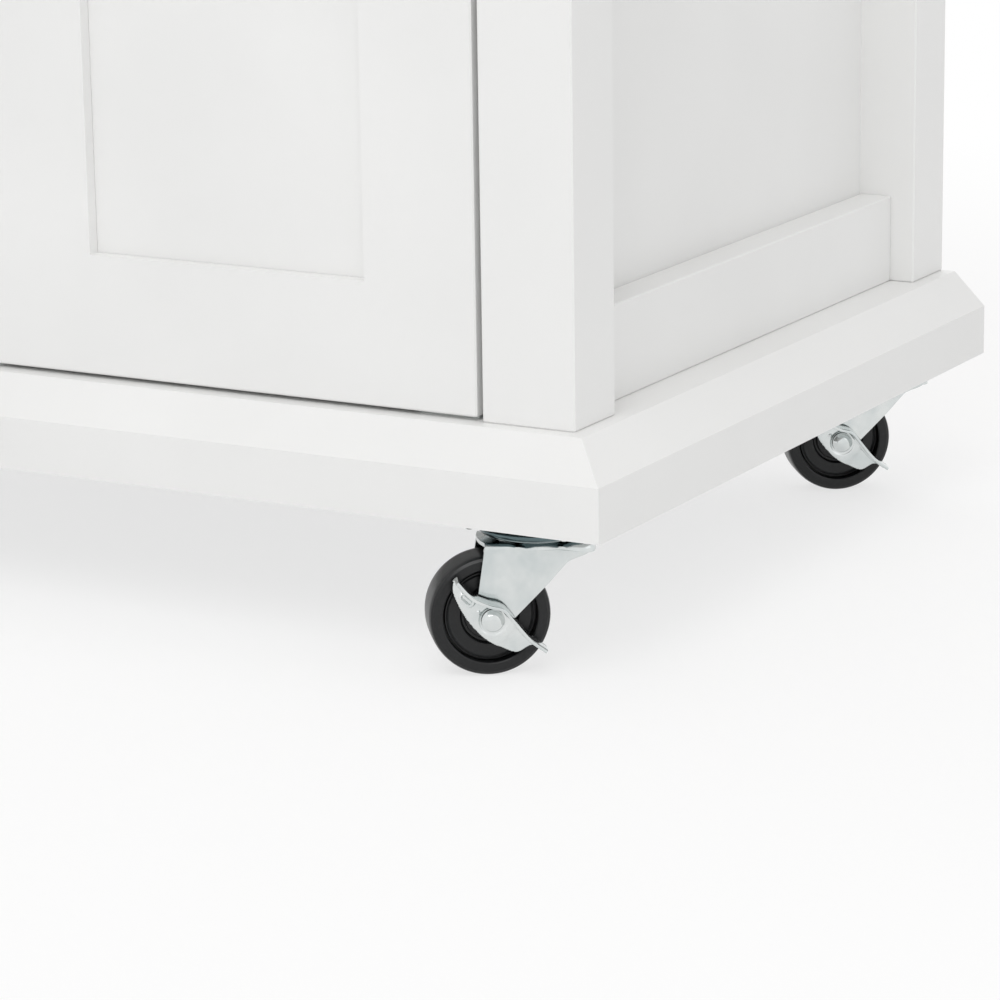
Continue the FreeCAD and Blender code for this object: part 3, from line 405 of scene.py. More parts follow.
def curve_through(points, per_span=8):
    """Points along a smooth curve through the given ones, in the plane."""
    ends = [2 * Vector(points[0]) - Vector(points[1])] + [Vector(p) for p in points]
    ends.append(2 * Vector(points[-1]) - Vector(points[-2]))
    run = []
    for a, b, c, d in zip(ends, ends[1:], ends[2:], ends[3:]):
        for step in range(per_span):
            t = step / per_span
            run.append(0.5 * (
                2 * b + (c - a) * t + (2 * a - 5 * b + 4 * c - d) * t ** 2
                + (3 * b - a - 3 * c + d) * t ** 3))
    run.append(Vector(points[-1]))
    return run


def smooth_step(low, high, value):
    """0 below low, 1 above high, and a soft ramp between."""
    share = min(max((value - low) / (high - low), 0), 1)
    return share * share * (3 - 2 * share)


def edge_distance(point, outline):
    """Distance from a point to a closed outline."""
    best = 1e9
    for start, end in zip(outline, outline[1:] + outline[:1]):
        run = end - start
        share = max(0.0, min(1.0, (point - start).dot(run) / max(run.length_squared, 1e-9)))
        best = min(best, (point - start - share * run).length)
    return best


def pressed_sheet(outline, thickness, relief, step, rounding):
    """A pressed sheet: the outline in X and Z, its face towards -Y raised by relief(x, z)."""
    shape = bmesh.new()
    shape.faces.new([shape.verts.new((p.x, 0, p.y)) for p in outline])
    for axis in (0, 2):
        low = min(v.co[axis] for v in shape.verts)
        high = max(v.co[axis] for v in shape.verts)
        level = low + step
        while level < high - 0.2 * step:
            cut = Vector((0, 0, 0))
            cut[axis] = level
            normal = Vector((0, 0, 0))
            normal[axis] = 1
            everything = shape.verts[:] + shape.edges[:] + shape.faces[:]
            bmesh.ops.bisect_plane(shape, geom=everything, plane_co=cut, plane_no=normal)
            level += step
    bmesh.ops.triangulate(shape, faces=[f for f in shape.faces if len(f.verts) > 4])
    front = shape.faces[:]
    copied = bmesh.ops.duplicate(shape, geom=shape.verts[:] + shape.edges[:] + front)
    back = {item for item in copied["geom"] if isinstance(item, bmesh.types.BMVert)}
    twins = copied["vert_map"]
    rims = [edge.verts[:] for edge in shape.edges
            if edge.is_boundary and edge.verts[0] not in back]
    rim_line = [Vector(p) for p in outline]
    for vert in [v for v in shape.verts if v not in back]:
        flat = Vector((vert.co.x, vert.co.z))
        fall = max(0.0, 1 - edge_distance(flat, rim_line) / rounding)
        lift = relief(flat.x, flat.y)
        vert.co.y = -thickness - lift + rounding * (1 - math.sqrt(max(0.0, 1 - fall * fall)))
        twins[vert].co.y = -lift
    for a, b in rims:
        shape.faces.new((a, b, twins[b], twins[a]))
    return shape


def thickened(shape, thickness):
    """A shell from an open sheet: its back lies one thickness behind the normals."""
    shape.normal_update()
    faces = shape.faces[:]
    rims = [edge.verts[:] for edge in shape.edges if edge.is_boundary]
    twins = {vert: shape.verts.new(vert.co - vert.normal * thickness) for vert in shape.verts[:]}
    for face in faces:
        shape.faces.new([twins[vert] for vert in reversed(face.verts[:])])
    for a, b in rims:
        shape.faces.new((a, b, twins[b], twins[a]))
    return shape


def join(target, *others):
    """Add other shapes to the target as separate shells."""
    for other in others:
        mesh = bpy.data.meshes.new("joined")
        other.to_mesh(mesh)
        other.free()
        target.from_mesh(mesh)
        bpy.data.meshes.remove(mesh)
    return target


# ---------------------------------------------------------------- casters

# A fork is drawn about its kingpin, with its trail along -X. Wheel, bolt and lever are drawn about
# the axle. Half of the wheel's section, as (radius, distance from the middle):
TYRE_PROFILE = [
    (4.1, 11.5), (6.6, 11.5), (7.2, 11.1), (7.6, 10.0), (11.0, 8.4), (11.8, 7.8), (12.2, 6.0),
    (13.2, 6.0), (13.6, 7.3), (14.2, 7.7), (19.6, 7.4), (20.3, 7.7), (20.8, 8.2), (21.3, 8.1),
    (21.6, 7.2), (21.7, 5.4), (22.2, 5.4), (22.3, 9.6), (22.6, 10.5), (23.2, 10.8), (26.4, 10.8),
    (27.0, 10.7), (27.4, 10.35), (27.65, 10.25), (28.2, 9.8), (28.65, 8.8), (28.88, 7.0),
    (28.98, 4.0), (29.0, 0.4),
]
# The lever's upper edge and its belly, as (X, Z) from the axle.
LEVER_TOP = [
    (-17.0, 21.5), (-10.5, 13.8), (-2.5, 9.6), (4.5, 7.2), (9.8, 0.9), (16.8, -7.9),
    (24.6, -14.0),
]
LEVER_BELLY = [
    (23.5, -15.7), (18.3, -13.2), (11.5, -16.2), (5.0, -14.0), (-4.0, -8.6), (-12.2, 0.9),
    (-17.6, 11.5), (-18.6, 17.4), (-17.0, 21.5),
]
LEVER_TILT = math.radians(-42)
OBLONG_X, OBLONG_Z = -12.2, 10.8
PIP_X, PIP_Z = -6.8, 4.4
FLANGE_WIDTH = 9.0
FLANGE_DROOP = 0.7
# The fork's back edge: where it begins and how far it leans forward for each millimetre down.
# LEG_END is the last point of the crown's edge that a leg hangs from.
BACK_TOP = -26.3
BACK_LEAN = 0.1485
LEG_END = 33
LEG_FALL = 37.0
LEG_FOOT = 21.1
LEG_RECESS = 0.3
BOSS_RADIUS = 8
BOSS_BACK_LEVEL = 30.1
PIN_HOLE = 5.1
GROOVE_RADIUS = 16.5
# The front edge of the leg, as (level, X), down to where the boss begins.
LEG_FRONT = [
    (58.6, 24.1), (57.3, 23.4), (56.5, 21.7), (55.8, 19.6), (55.1, 16.6), (54.3, 14.1),
    (53.4, 12.6), (52.5, 11.7), (51.6, 10.8), (49.7, 8.9), (46.0, 5.5), (44.1, 3.7),
    (29.0, -12.3), (23.5, -17.9),
]
BOSS_FRONT_LEVEL = LEG_FRONT[-1][0]


def wheel_shape():
    """The wheel about its axle: hub, web and tyre, the same on both sides."""
    mirrored = [(radius, -side) for radius, side in reversed(TYRE_PROFILE)]
    return turned(TYRE_PROFILE + mirrored, steps=144)


def lever_relief(x, z):
    """Forms pressed into the brake lever: an oblong, a pip, a seat for the bolt and a joggle."""
    cos, sin = math.cos(LEVER_TILT), math.sin(LEVER_TILT)
    along = (x - OBLONG_X) * cos + (z - OBLONG_Z) * sin
    across = -(x - OBLONG_X) * sin + (z - OBLONG_Z) * cos
    oblong = math.hypot(max(abs(along) - 2.1, 0), across)
    lift = 0.8 * (1 - smooth_step(1.8, 2.5, oblong))
    lift -= 0.9 * (1 - smooth_step(0.7, 1.3, oblong))
    lift += 0.8 * (1 - smooth_step(0.3, 1.2, math.hypot(x - PIP_X, z - PIP_Z)))
    lift -= 0.5 * (1 - smooth_step(6.3, 7.3, math.hypot(x, z)))
    lift -= 1.3 * smooth_step(9.3, 12.2, x * cos + z * sin)
    return lift


def lever_shape():
    """The brake lever about its bolt: a pressed leaf and the foot flange along its upper edge."""
    top = curve_through(LEVER_TOP)
    belly = curve_through(LEVER_BELLY, 6)
    rails = []
    for index, spot in enumerate(top):
        before = top[max(index - 1, 0)]
        after = top[min(index + 1, len(top) - 1)]
        run = (after - before).normalized()
        rails.append((spot, Vector((-run.y, run.x))))
    edge = [spot + 0.4 * up for spot, up in rails]
    leaf = pressed_sheet(edge + belly[:-1], LEVER_SHEET, lever_relief, 0.5, 0.5)
    bmesh.ops.translate(leaf, verts=leaf.verts, vec=(0, -LEVER_FACE, 0))
    outer = FLANGE_WIDTH
    sheet = LEVER_SHEET
    section = [
        (-1.4, 0.05), (-0.45, 0.35), (0.0, 1.2), (0.0, 3.8), (0.0, 6.4), (0.0, outer - 0.5),
        (-0.15, outer - 0.12), (-0.5, outer), (0.5 - sheet, outer), (0.15 - sheet, outer - 0.12),
        (-sheet, outer - 0.5), (-sheet, 6.0), (-sheet, 3.2), (-sheet - 0.3, 2.3),
        (-sheet - 1.1, 1.65), (-sheet - 1.3, 1.1), (-sheet - 1.0, 0.5),
    ]
    flange = bmesh.new()
    rings = []
    for spot, up in rails:
        ring = []
        for lift, depth in section:
            raised = spot + up * (lift + FLANGE_DROOP * (1 - depth / outer))
            ring.append(flange.verts.new((raised.x, -LEVER_FACE - depth, raised.y)))
        rings.append(ring)
    for low, high in zip(rings, rings[1:]):
        for i in range(len(section)):
            j = (i + 1) % len(section)
            flange.faces.new((low[i], low[j], high[j], high[i]))
    flange.faces.new(rings[0][::-1])
    flange.faces.new(rings[-1])
    return join(leaf, flange)


def between(table, level):
    """A value between the rows of (level, value), the levels falling."""
    for (high, first), (low, second) in zip(table, table[1:]):
        if level >= low:
            share = (high - level) / (high - low)
            return first + (second - first) * min(max(share, 0), 1)
    return table[-1][1]


def crown_edge():
    """Half of the crown's outer edge in plan, from the back of the near side to the front."""
    near = [Vector((BACK_TOP + (18.4 - BACK_TOP) * i / 28, -FORK_HALF)) for i in range(29)]
    first, pull = near[-1], Vector((24.2, -FORK_HALF))
    angle = math.radians(24)
    last = CROWN_RADIUS * Vector((math.cos(angle), -math.sin(angle)))
    corner = []
    for i in range(1, 9):
        t = i / 8
        corner.append((1 - t) ** 2 * first + 2 * t * (1 - t) * pull + t * t * last)
    arc = [CROWN_RADIUS * Vector((math.cos(angle * (1 - i / 7)), -math.sin(angle * (1 - i / 7))))
           for i in range(1, 8)]
    return near + corner + arc


def ball_groove(spot):
    """Depth of the ball race pressed into the crown."""
    away = abs(math.hypot(spot.x, spot.y) - GROOVE_RADIUS)
    return smooth_step(0.4, 3.2, away) - 1.0


def edge_bend(x):
    """Radius of the crown's rolled edge, which grows into the drooping lip at the front."""
    return 2.6 + 1.2 * smooth_step(-14, 0, x) + 2.4 * smooth_step(8, 23, x)


def leg_sheet(shape, side, head, share, corner):
    """One leg from its row of points below the crown down to the round boss at the axle.

    share is each point's place between the leg's back and front edge, and corner how far the
    crown's corner has turned away from the leg's plane there.
    """
    above = head
    # rows close together below the bend, wider along the leg and close again round the boss
    fall = [0.6 * k for k in range(1, 14)] + [8.0 + 1.7 * k for k in range(1, 14)]
    fall += [31.4, 32.8, 34.0, 35.0, 36.0, 36.6, LEG_FALL]
    for step in fall:
        row = []
        for i, top in enumerate(head):
            level = top.co.z + (LEG_FOOT - top.co.z) * step / LEG_FALL
            half = math.sqrt(max(BOSS_RADIUS ** 2 - (level - WHEEL_RADIUS) ** 2, 0.6))
            back = -TRAIL - half
            if level > BOSS_BACK_LEVEL:
                back = BACK_TOP - BACK_LEAN * (CROWN_TOP - level)
            front = between(LEG_FRONT, level) if level > BOSS_FRONT_LEVEL else -TRAIL + half
            x = back + share[i] * (front - back)
            # forward of a leaning crease the sheet runs inwards
            crease = x + 10.5 + 0.07 * (62 - level)
            inward = 0.085 * max(0.0, crease) * smooth_step(-0.4, 1.2, crease)
            inward *= smooth_step(0, 5, head[0].co.z - level)
            inward += LEG_RECESS * smooth_step(0, 0.7, top.co.z - level)
            inward += corner[i] * (1 - smooth_step(1.0, 6.0, top.co.z - level))
            row.append(shape.verts.new((x, side * (FORK_HALF - inward), level)))
        for i in range(len(head) - 1):
            quad = (above[i], row[i], row[i + 1], above[i + 1])
            shape.faces.new(quad if side < 0 else quad[::-1])
        above = row


def rolled_edge(shape, edge, reach):
    """Rows of points from the crown's top over its rolled edge, the last one just below it."""
    count = len(edge)
    rows = [[] for _ in range(8)]
    for i, spot in enumerate(edge):
        from_end = min(i, count - 1 - i)
        side = 1 if spot.y > 0 else -1
        around = smooth_step(24, 36, from_end)
        facing = (1 - around) * 90 + around * math.degrees(math.atan2(abs(spot.y), spot.x))
        outward = Vector((math.cos(math.radians(facing)), side * math.sin(math.radians(facing))))
        radius = edge_bend(spot.x)
        share = (spot.x - BACK_TOP) / reach if from_end <= LEG_END else 1.0
        for step, row in enumerate(rows):
            bend = min(15 * step, 90)
            angle = math.radians(bend)
            flat = spot - outward * radius * (1 - math.sin(angle))
            level = CROWN_TOP - radius * (1 - math.cos(angle)) - (0.3 if step == 7 else 0)
            dip = ball_groove(flat) * (1 - smooth_step(50, 85, bend))
            flat = flat + outward * math.sin(angle) * dip
            shift = -BACK_LEAN * (CROWN_TOP - level) * (1 - share)
            row.append(shape.verts.new((
                flat.x + shift, flat.y, level + math.cos(angle) * dip)))
    for high, low in zip(rows, rows[1:]):
        for i in range(count - 1):
            shape.faces.new((high[i], low[i], low[i + 1], high[i + 1]))
    return rows


def crown_top(shape, rim):
    """The crown's top from its rim inwards to the kingpin's hole, closed by a bulging back edge."""
    loop = rim[:]
    near_y = rim[0].co.y
    for i in range(1, 12):
        y = -near_y * (1 - i / 6)
        bulge = 1.9 * (1 - (y / near_y) ** 2)
        loop.append(shape.verts.new((BACK_TOP - bulge, y, CROWN_TOP)))
    outline = [Vector(vert.co.xy) for vert in loop]
    for ring in range(1, 15):
        made = []
        for flat in outline:
            spot = flat.lerp(flat.normalized() * PIN_HOLE, ring / 14)
            made.append(shape.verts.new((spot.x, spot.y, CROWN_TOP + ball_groove(spot))))
        for i in range(len(loop)):
            j = (i + 1) % len(loop)
            shape.faces.new((loop[i], loop[j], made[j], made[i]))
        loop = made


def fork_shape():
    """The fork: one pressed sheet with a round crown, a rolled edge and a leg on either side."""
    half_edge = crown_edge()
    edge = half_edge + [Vector((p.x, -p.y)) for p in reversed(half_edge[:-1])]
    reach = edge[LEG_END].x - BACK_TOP
    shape = bmesh.new()
    rows = rolled_edge(shape, edge, reach)
    share = [(edge[i].x - BACK_TOP) / reach for i in range(LEG_END + 1)]
    corner = [max(0.0, FORK_HALF + edge[i].y) for i in range(LEG_END + 1)]
    leg_sheet(shape, -1, rows[-1][:LEG_END + 1], share, corner)
    leg_sheet(shape, 1, rows[-1][::-1][:LEG_END + 1], share, corner)
    crown_top(shape, rows[0])
    bmesh.ops.recalc_face_normals(shape, faces=shape.faces)
    # the crown's faces have to look up, so that the sheet thickens downwards
    upward = sum(f.normal.z * f.calc_area() for f in shape.faces if f.calc_center_median().z > 62)
    if upward < 0:
        bmesh.ops.reverse_faces(shape, faces=shape.faces)
    return thickened(shape, FORK_SHEET)


def bolt_shape():
    """The axle bolt: domed head with a small collar, shaft, spacer and a nut."""
    head = -LEVER_FACE - LEVER_SHEET - 0.3
    profile = [
        (0.0, head - 2.9), (1.8, head - 2.8), (3.2, head - 2.45), (4.3, head - 1.8),
        (4.95, head - 1.05), (5.15, head - 0.75), (5.5, head - 0.6), (5.5, head), (4.0, head),
        (4.0, -16.0), (6.0, -16.0), (6.0, -13.6), (4.0, -13.6), (4.0, 19.3), (3.4, 19.5),
        (0.0, 19.5),
    ]
    bolt = turned(profile, steps=48, closed=False)
    nut = bmesh.new()
    rings = []
    for radius, height in ((5.9, 13.6), (6.4, 14.1), (6.4, 17.0), (5.8, 17.6)):
        rings.append([nut.verts.new((
            radius * math.cos(math.radians(60 * i)), height,
            radius * math.sin(math.radians(60 * i)))) for i in range(6)])
    for low, high in zip(rings, rings[1:]):
        for i in range(6):
            nut.faces.new((low[i], low[(i + 1) % 6], high[(i + 1) % 6], high[i]))
    nut.faces.new(rings[0])
    nut.faces.new(rings[-1][::-1])
    return join(bolt, nut)


def plate_shape():
    """The mounting plate with round corners, and the kingpin riveted below the crown."""
    plate = bmesh.new()
    rings = []
    radius = 6.0
    broken = 0.4
    for inset, level in ((0.0, CASTER_HEIGHT), (0.0, PLATE_UNDERSIDE + broken),
                         (broken, PLATE_UNDERSIDE)):
        ring = []
        for quarter, (sx, sy) in enumerate(((1, 1), (-1, 1), (-1, -1), (1, -1))):
            centre = Vector((sx * (PLATE_LENGTH / 2 - radius), sy * (PLATE_WIDTH / 2 - radius)))
            for i in range(7):
                angle = math.radians(90 * quarter + 15 * i)
                spot = centre + (radius - inset) * Vector((math.cos(angle), math.sin(angle)))
                ring.append(plate.verts.new((spot.x, spot.y, level)))
        rings.append(ring)
    for high, low in zip(rings, rings[1:]):
        for i in range(len(high)):
            j = (i + 1) % len(high)
            plate.faces.new((high[i], low[i], low[j], high[j]))
    plate.faces.new(rings[0])
    plate.faces.new(rings[-1][::-1])
    pin = turned([
        (0.0, PLATE_UNDERSIDE), (5.0, PLATE_UNDERSIDE), (5.0, 63.0), (8.2, 62.9), (8.4, 62.2),
        (7.2, 61.1), (5.0, 60.5), (0.0, 60.4)], steps=48, axis="Z", closed=False)
    return join(plate, pin)


def race_shape():
    """The upper race: a pressed bowl that hangs below the plate and nearly meets the crown."""
    return turned([
        (27.9, PLATE_UNDERSIDE), (27.85, 69.7), (27.4, 68.8), (26.2, 67.8), (24.2, 66.9),
        (21.6, 66.1), (19.4, 65.5), (17.8, 65.2), (16.9, 65.4), (16.3, 66.2), (13.6, 66.4),
        (6.0, 66.2), (6.0, PLATE_UNDERSIDE)], steps=128, axis="Z")


def make_casters():
    """The four casters, each piece on the body that it moves with."""
    turn = math.radians(CASTER_TURN)
    for row, y in CASTER_SPOT_Y.items():
        for word, side in (("left", -1), ("right", 1)):
            name = f"caster_{row}_{word}"
            x = side * CASTER_SPOT_X
            axle = (x - TRAIL * math.cos(turn), y - TRAIL * math.sin(turn), WHEEL_RADIUS)
            swivel = f"{name}_swivel"
            finished(f"{name}_pressed_fork", fork_shape(), (x, y, 0), CASTER_TURN, zinc, swivel,
                     [f"{name}_fork"], sharp=34, bevel=0.28)
            finished(f"{name}_axle_bolt", bolt_shape(), axle, CASTER_TURN, zinc, swivel,
                     [f"{name}_axle"], sharp=35)
            finished(f"{name}_moulded_wheel", wheel_shape(), axle, CASTER_TURN, wheel_plastic,
                     f"{name}_roller", [f"{name}_wheel"], sharp=25)
            finished(f"{name}_brake_lever", lever_shape(), axle, CASTER_TURN, zinc,
                     f"{name}_lever", [f"{name}_brake"], sharp=30)
            # plate and race take the zinc darkened as painted shade, for the shadow under the base
            finished(f"{name}_mounting_plate", plate_shape(), (x, y, 0), 0, zinc_painted_shade, "cabinet",
                     ["caster_plates"])
            finished(f"{name}_upper_race", race_shape(), (x, y, 0), 0, zinc_painted_shade, "cabinet",
                     ["caster_plates"], sharp=50)


make_casters()


# ---------------------------------------------------------------- knobs and prop arms

ARM_ROUNDING = 2.0

# A knob's section, as (radius, place along Y from the front's face).
KNOB_PROFILE = [
    (0.0, 0.0), (8.25, 0.0), (8.25, -1.2), (7.9, -1.8), (7.2, -2.3), (6.5, -3.4), (6.05, -5.2),
    (5.95, -8.0), (6.3, -10.6), (7.6, -12.6), (10.2, -14.3), (12.9, -15.6), (14.4, -17.0),
    (15.0, -18.7), (14.8, -20.4), (13.9, -21.9), (12.0, -23.4), (9.2, -24.7), (6.0, -25.5),
    (3.0, -25.9), (0.0, -26.0),
]


def make_knobs():
    """A knob on each door and two on the drawer."""
    for word, side in (("left", -1), ("right", 1)):
        finished(f"door_{word}_turned_knob", turned(KNOB_PROFILE, 72, closed=False),
                 (side * DOOR_KNOB_X, BODY_FRONT, DOOR_KNOB_Z), 0, nickel, f"door_{word}",
                 [f"door_{word}_knob"], sharp=50)
        finished(f"drawer_turned_knob_{word}", turned(KNOB_PROFILE, 72, closed=False),
                 (side * DRAWER_KNOB_X, BODY_FRONT, DRAWER_KNOB_Z), 0, nickel, "drawer",
                 ["drawer_knobs"], sharp=50)


def round_over(name, finish, body):
    """A board of the construction with its edges rounded over."""
    shape = bmesh.new()
    shape.from_mesh(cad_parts[name].data)
    bmesh.ops.remove_doubles(shape, verts=shape.verts, dist=1e-6)
    bmesh.ops.dissolve_limit(shape, angle_limit=math.radians(0.5), verts=shape.verts,
                             edges=shape.edges)
    bmesh.ops.scale(shape, verts=shape.verts, vec=(1 / MM, 1 / MM, 1 / MM))
    finished(f"{name}_rounded", shape, (0, 0, 0), 0, finish, body, [name], sharp=35,
             bevel=ARM_ROUNDING, segments=3)


make_knobs()
for arm in ("left", "right"):
    round_over(f"prop_arm_{arm}", lacquer_upright, f"prop_{arm}")


# ---------------------------------------------------------------- screws

# Sizes of a screw head as shares of its radius.
HEAD_SHARES = {
    "Head radius": 1.0, "Head height": 0.4, "Recess width": 0.24, "Recess depth": 0.26,
}
DOWN = (0, 0, -1)
BACKWARD = (0, 1, 0)
FORWARD = (0, -1, 0)

# Places of the screws in their fittings, in millimetres.
PLATE_SCREWS = [(across, along) for across in (-25, 25) for along in (-19, 19)]
HINGE_SCREWS = [(-25, 9), (0, 20), (25, 9)]
FLAP_START = 3.4
FLAP_FACE = 1.5
BRACKET_SCREWS = [(across, rise) for across in (-17.5, 17.5) for rise in (-22, 22)]
STOP_SCREWS = (-13, 13)
SLIDE_SCREWS = (-172, -23, 124)
DRAWER_SCREWS = [(across, rise) for across in (-200, 200) for rise in (-22, 22)]


def screw_tree():
    """Cross-recessed screw heads on the points of a mesh, standing along their attribute."""
    tree = bpy.data.node_groups.new("screw_heads", "GeometryNodeTree")
    face = tree.interface
    face.new_socket("Geometry", in_out="INPUT", socket_type="NodeSocketGeometry")
    for label, value in (("Head radius", 3.2 * MM), ("Head height", 1.3 * MM),
                         ("Recess width", 0.75 * MM), ("Recess depth", 0.8 * MM)):
        face.new_socket(label, in_out="INPUT", socket_type="NodeSocketFloat").default_value = value
    face.new_socket("Finish", in_out="INPUT", socket_type="NodeSocketMaterial")
    face.new_socket("Geometry", in_out="OUTPUT", socket_type="NodeSocketGeometry")
    given = node(tree, "NodeGroupInput").outputs
    height = given["Head height"]
    rim = node(tree, "ShaderNodeMath", {0: given["Head radius"], 1: 0.72}, operation="MULTIPLY")
    head = node(tree, "GeometryNodeMeshCone", {
        "Vertices": 24, "Side Segments": 1, "Radius Top": rim.outputs["Value"],
        "Radius Bottom": given["Head radius"], "Depth": height})
    span = node(tree, "ShaderNodeMath", {0: given["Head radius"], 1: 1.15}, operation="MULTIPLY")
    twice = node(tree, "ShaderNodeMath", {0: given["Recess depth"], 1: 2.0}, operation="MULTIPLY")
    bars = []
    for across, along in ((span.outputs["Value"], given["Recess width"]),
                          (given["Recess width"], span.outputs["Value"])):
        size = node(tree, "ShaderNodeCombineXYZ", {
            "X": across, "Y": along, "Z": twice.outputs["Value"]})
        bars.append(node(tree, "GeometryNodeMeshCube", {"Size": size.outputs["Vector"]}))
    cross = node(tree, "GeometryNodeJoinGeometry")
    for bar in bars:
        tree.links.new(bar.outputs["Mesh"], cross.inputs["Geometry"])
    lifted = node(tree, "ShaderNodeCombineXYZ", {"Z": height})
    raised = node(tree, "GeometryNodeTransform", {
        "Geometry": cross.outputs["Geometry"], "Translation": lifted.outputs["Vector"]})
    cut = node(tree, "GeometryNodeMeshBoolean", {
        "Mesh 1": head.outputs["Mesh"], "Self Intersection": True}, operation="DIFFERENCE",
        solver="EXACT")
    tree.links.new(raised.outputs["Geometry"], cut.inputs["Mesh 2"])
    way = node(tree, "GeometryNodeInputNamedAttribute", {"Name": "outward"},
               data_type="FLOAT_VECTOR")
    stand = node(tree, "FunctionNodeAlignRotationToVector", {
        "Vector": way.outputs["Attribute"]}, axis="Z")
    twist = node(tree, "FunctionNodeRandomValue", {"Max": 1.5, "Seed": 7}, data_type="FLOAT")
    spin = node(tree, "FunctionNodeAxisAngleToRotation", {
        "Axis": (0, 0, 1), "Angle": twist.outputs[1]})
    turn = node(tree, "FunctionNodeRotateRotation", {
        "Rotation": stand.outputs["Rotation"], "Rotate By": spin.outputs["Rotation"]},
        rotation_space="LOCAL")
    spots = node(tree, "GeometryNodeMeshToPoints", {"Mesh": given["Geometry"]})
    placed = node(tree, "GeometryNodeInstanceOnPoints", {
        "Points": spots.outputs["Points"], "Instance": cut.outputs["Mesh"],
        "Rotation": turn.outputs["Rotation"]})
    whole = node(tree, "GeometryNodeRealizeInstances", {
        "Geometry": placed.outputs["Instances"]})
    painted = node(tree, "GeometryNodeSetMaterial", {
        "Geometry": whole.outputs["Geometry"], "Material": given["Finish"]})
    node(tree, "NodeGroupOutput", {"Geometry": painted.outputs["Geometry"]})
    return tree


def set_input(modifier, tree, label, value):
    """Set a modifier's input by the identifier of its socket."""
    for item in tree.interface.items_tree:
        if item.name == label and item.in_out == "INPUT":
            modifier[item.identifier] = value


def drive_screws(name, body, spots, tree, radius):
    """Screw heads of one body as one mesh, from (place, direction) pairs in millimetres."""
    seeds = bpy.data.meshes.new(f"{name}_seeds")
    seeds.from_pydata([Vector(place) * MM for place, _ in spots], [], [])
    outward = seeds.attributes.new("outward", "FLOAT_VECTOR", "POINT")
    for index, (_, direction) in enumerate(spots):
        outward.data[index].vector = direction
    holder = bpy.data.objects.new(name, seeds)
    bpy.context.scene.collection.objects.link(holder)
    modifier = holder.modifiers.new("heads", "NODES")
    modifier.node_group = tree
    for label, share in HEAD_SHARES.items():
        set_input(modifier, tree, label, radius * share * MM)
    set_input(modifier, tree, "Finish", zinc)
    bpy.context.view_layer.update()
    solid = holder.evaluated_get(bpy.context.evaluated_depsgraph_get())
    mesh = bpy.data.meshes.new_from_object(solid)
    holder.modifiers.remove(modifier)
    holder.data = mesh
    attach(holder, body)


def make_screws():
    """The visible screws, as one piece for each body and fitting."""
    tree = screw_tree()
    plates = []
    for y in CASTER_SPOT_Y.values():
        for side in (-1, 1):
            for across, along in PLATE_SCREWS:
                spot = (side * CASTER_SPOT_X + across, y + along, PLATE_UNDERSIDE)
                plates.append((spot, DOWN))
    drive_screws("caster_plate_screws", "cabinet", plates, tree, 3.0)
    under_top = []
    on_leaf = []
    for hinge in (-HINGE_SPACING, 0, HINGE_SPACING):
        for across, along in HINGE_SCREWS:
            x = hinge + across
            reach = FLAP_START + along
            under_top.append(((x, HINGE_Y - reach, HINGE_Z + FLAP_FACE), DOWN))
            on_leaf.append(((x, HINGE_Y + FLAP_FACE, HINGE_Z - reach), FORWARD))
    brackets = []
    for side in (-1, 1):
        for across, rise in BRACKET_SCREWS:
            spot = (side * PROP_X + across, BODY_BACK + BRACKET_SHEET, PROP_Z + rise)
            brackets.append((spot, BACKWARD))
        for across in STOP_SCREWS:
            on_leaf.append(((side * PROP_X + across, HINGE_Y, STOP_Z), FORWARD))
    drive_screws("hinge_and_bracket_screws", "cabinet", under_top + brackets, tree, 3.4)
    drive_screws("leaf_screws", "leaf", on_leaf, tree, 2.8)
    rails = []
    for side in (-1, 1):
        for along in SLIDE_SCREWS:
            rails.append(((side * SLIDE_FACE_X, along, SLIDE_Z), (-side, 0, 0)))
    drive_screws("slide_rail_screws", "cabinet", rails, tree, 2.8)
    board_face = BODY_FRONT + FRONT_THICKNESS + DRAWER_BOARD
    behind = [((x, board_face, SLIDE_Z + rise), BACKWARD) for x, rise in DRAWER_SCREWS]
    drive_screws("drawer_front_screws", "drawer", behind, tree, 3.6)
    for word, side in (("left", -1), ("right", 1)):
        spot = (side * DOOR_KNOB_X, BODY_FRONT + FRONT_THICKNESS, DOOR_KNOB_Z)
        drive_screws(f"door_{word}_knob_screw", f"door_{word}", [(spot, BACKWARD)], tree, 4.2)


make_screws()


# ---------------------------------------------------------------- stage, lamps and camera

# The photograph's viewpoint in millimetres, its angles in degrees and its lens.
CAMERA_SPOT = (1165.71, -1785.90, 539.13)
CAMERA_AZIMUTH = 29.379
CAMERA_PITCH = 14.388
CAMERA_ROLL = 0.840
CAMERA_LENS = 141.69

# Square lamps, as side, place and target in metres, and watts.
LAMPS = {
    "key_lamp": (2.4, (1.0, -2.7, 3.3), (0.1, 0.0, 0.4), 51),
    "side_lamp": (1.8, (3.2, -0.5, 1.5), (0.3, 0.0, 0.3), 2.5),
    "back_lamp": (2.0, (-1.8, 2.6, 2.6), (0.0, 0.0, 0.5), 25),
}


def soft_lamp(name, side, spot, target, watts):
    """A square area lamp that looks at its target."""
    lamp = bpy.data.lights.new(name, "AREA")
    lamp.shape = "RECTANGLE"
    lamp.size = side
    lamp.size_y = side
    lamp.energy = watts
    made = bpy.data.objects.new(name, lamp)
    bpy.context.scene.collection.objects.link(made)
    made.location = spot
    way = Vector(target) - made.location
    made.rotation_euler = way.to_track_quat("-Z", "Y").to_euler()


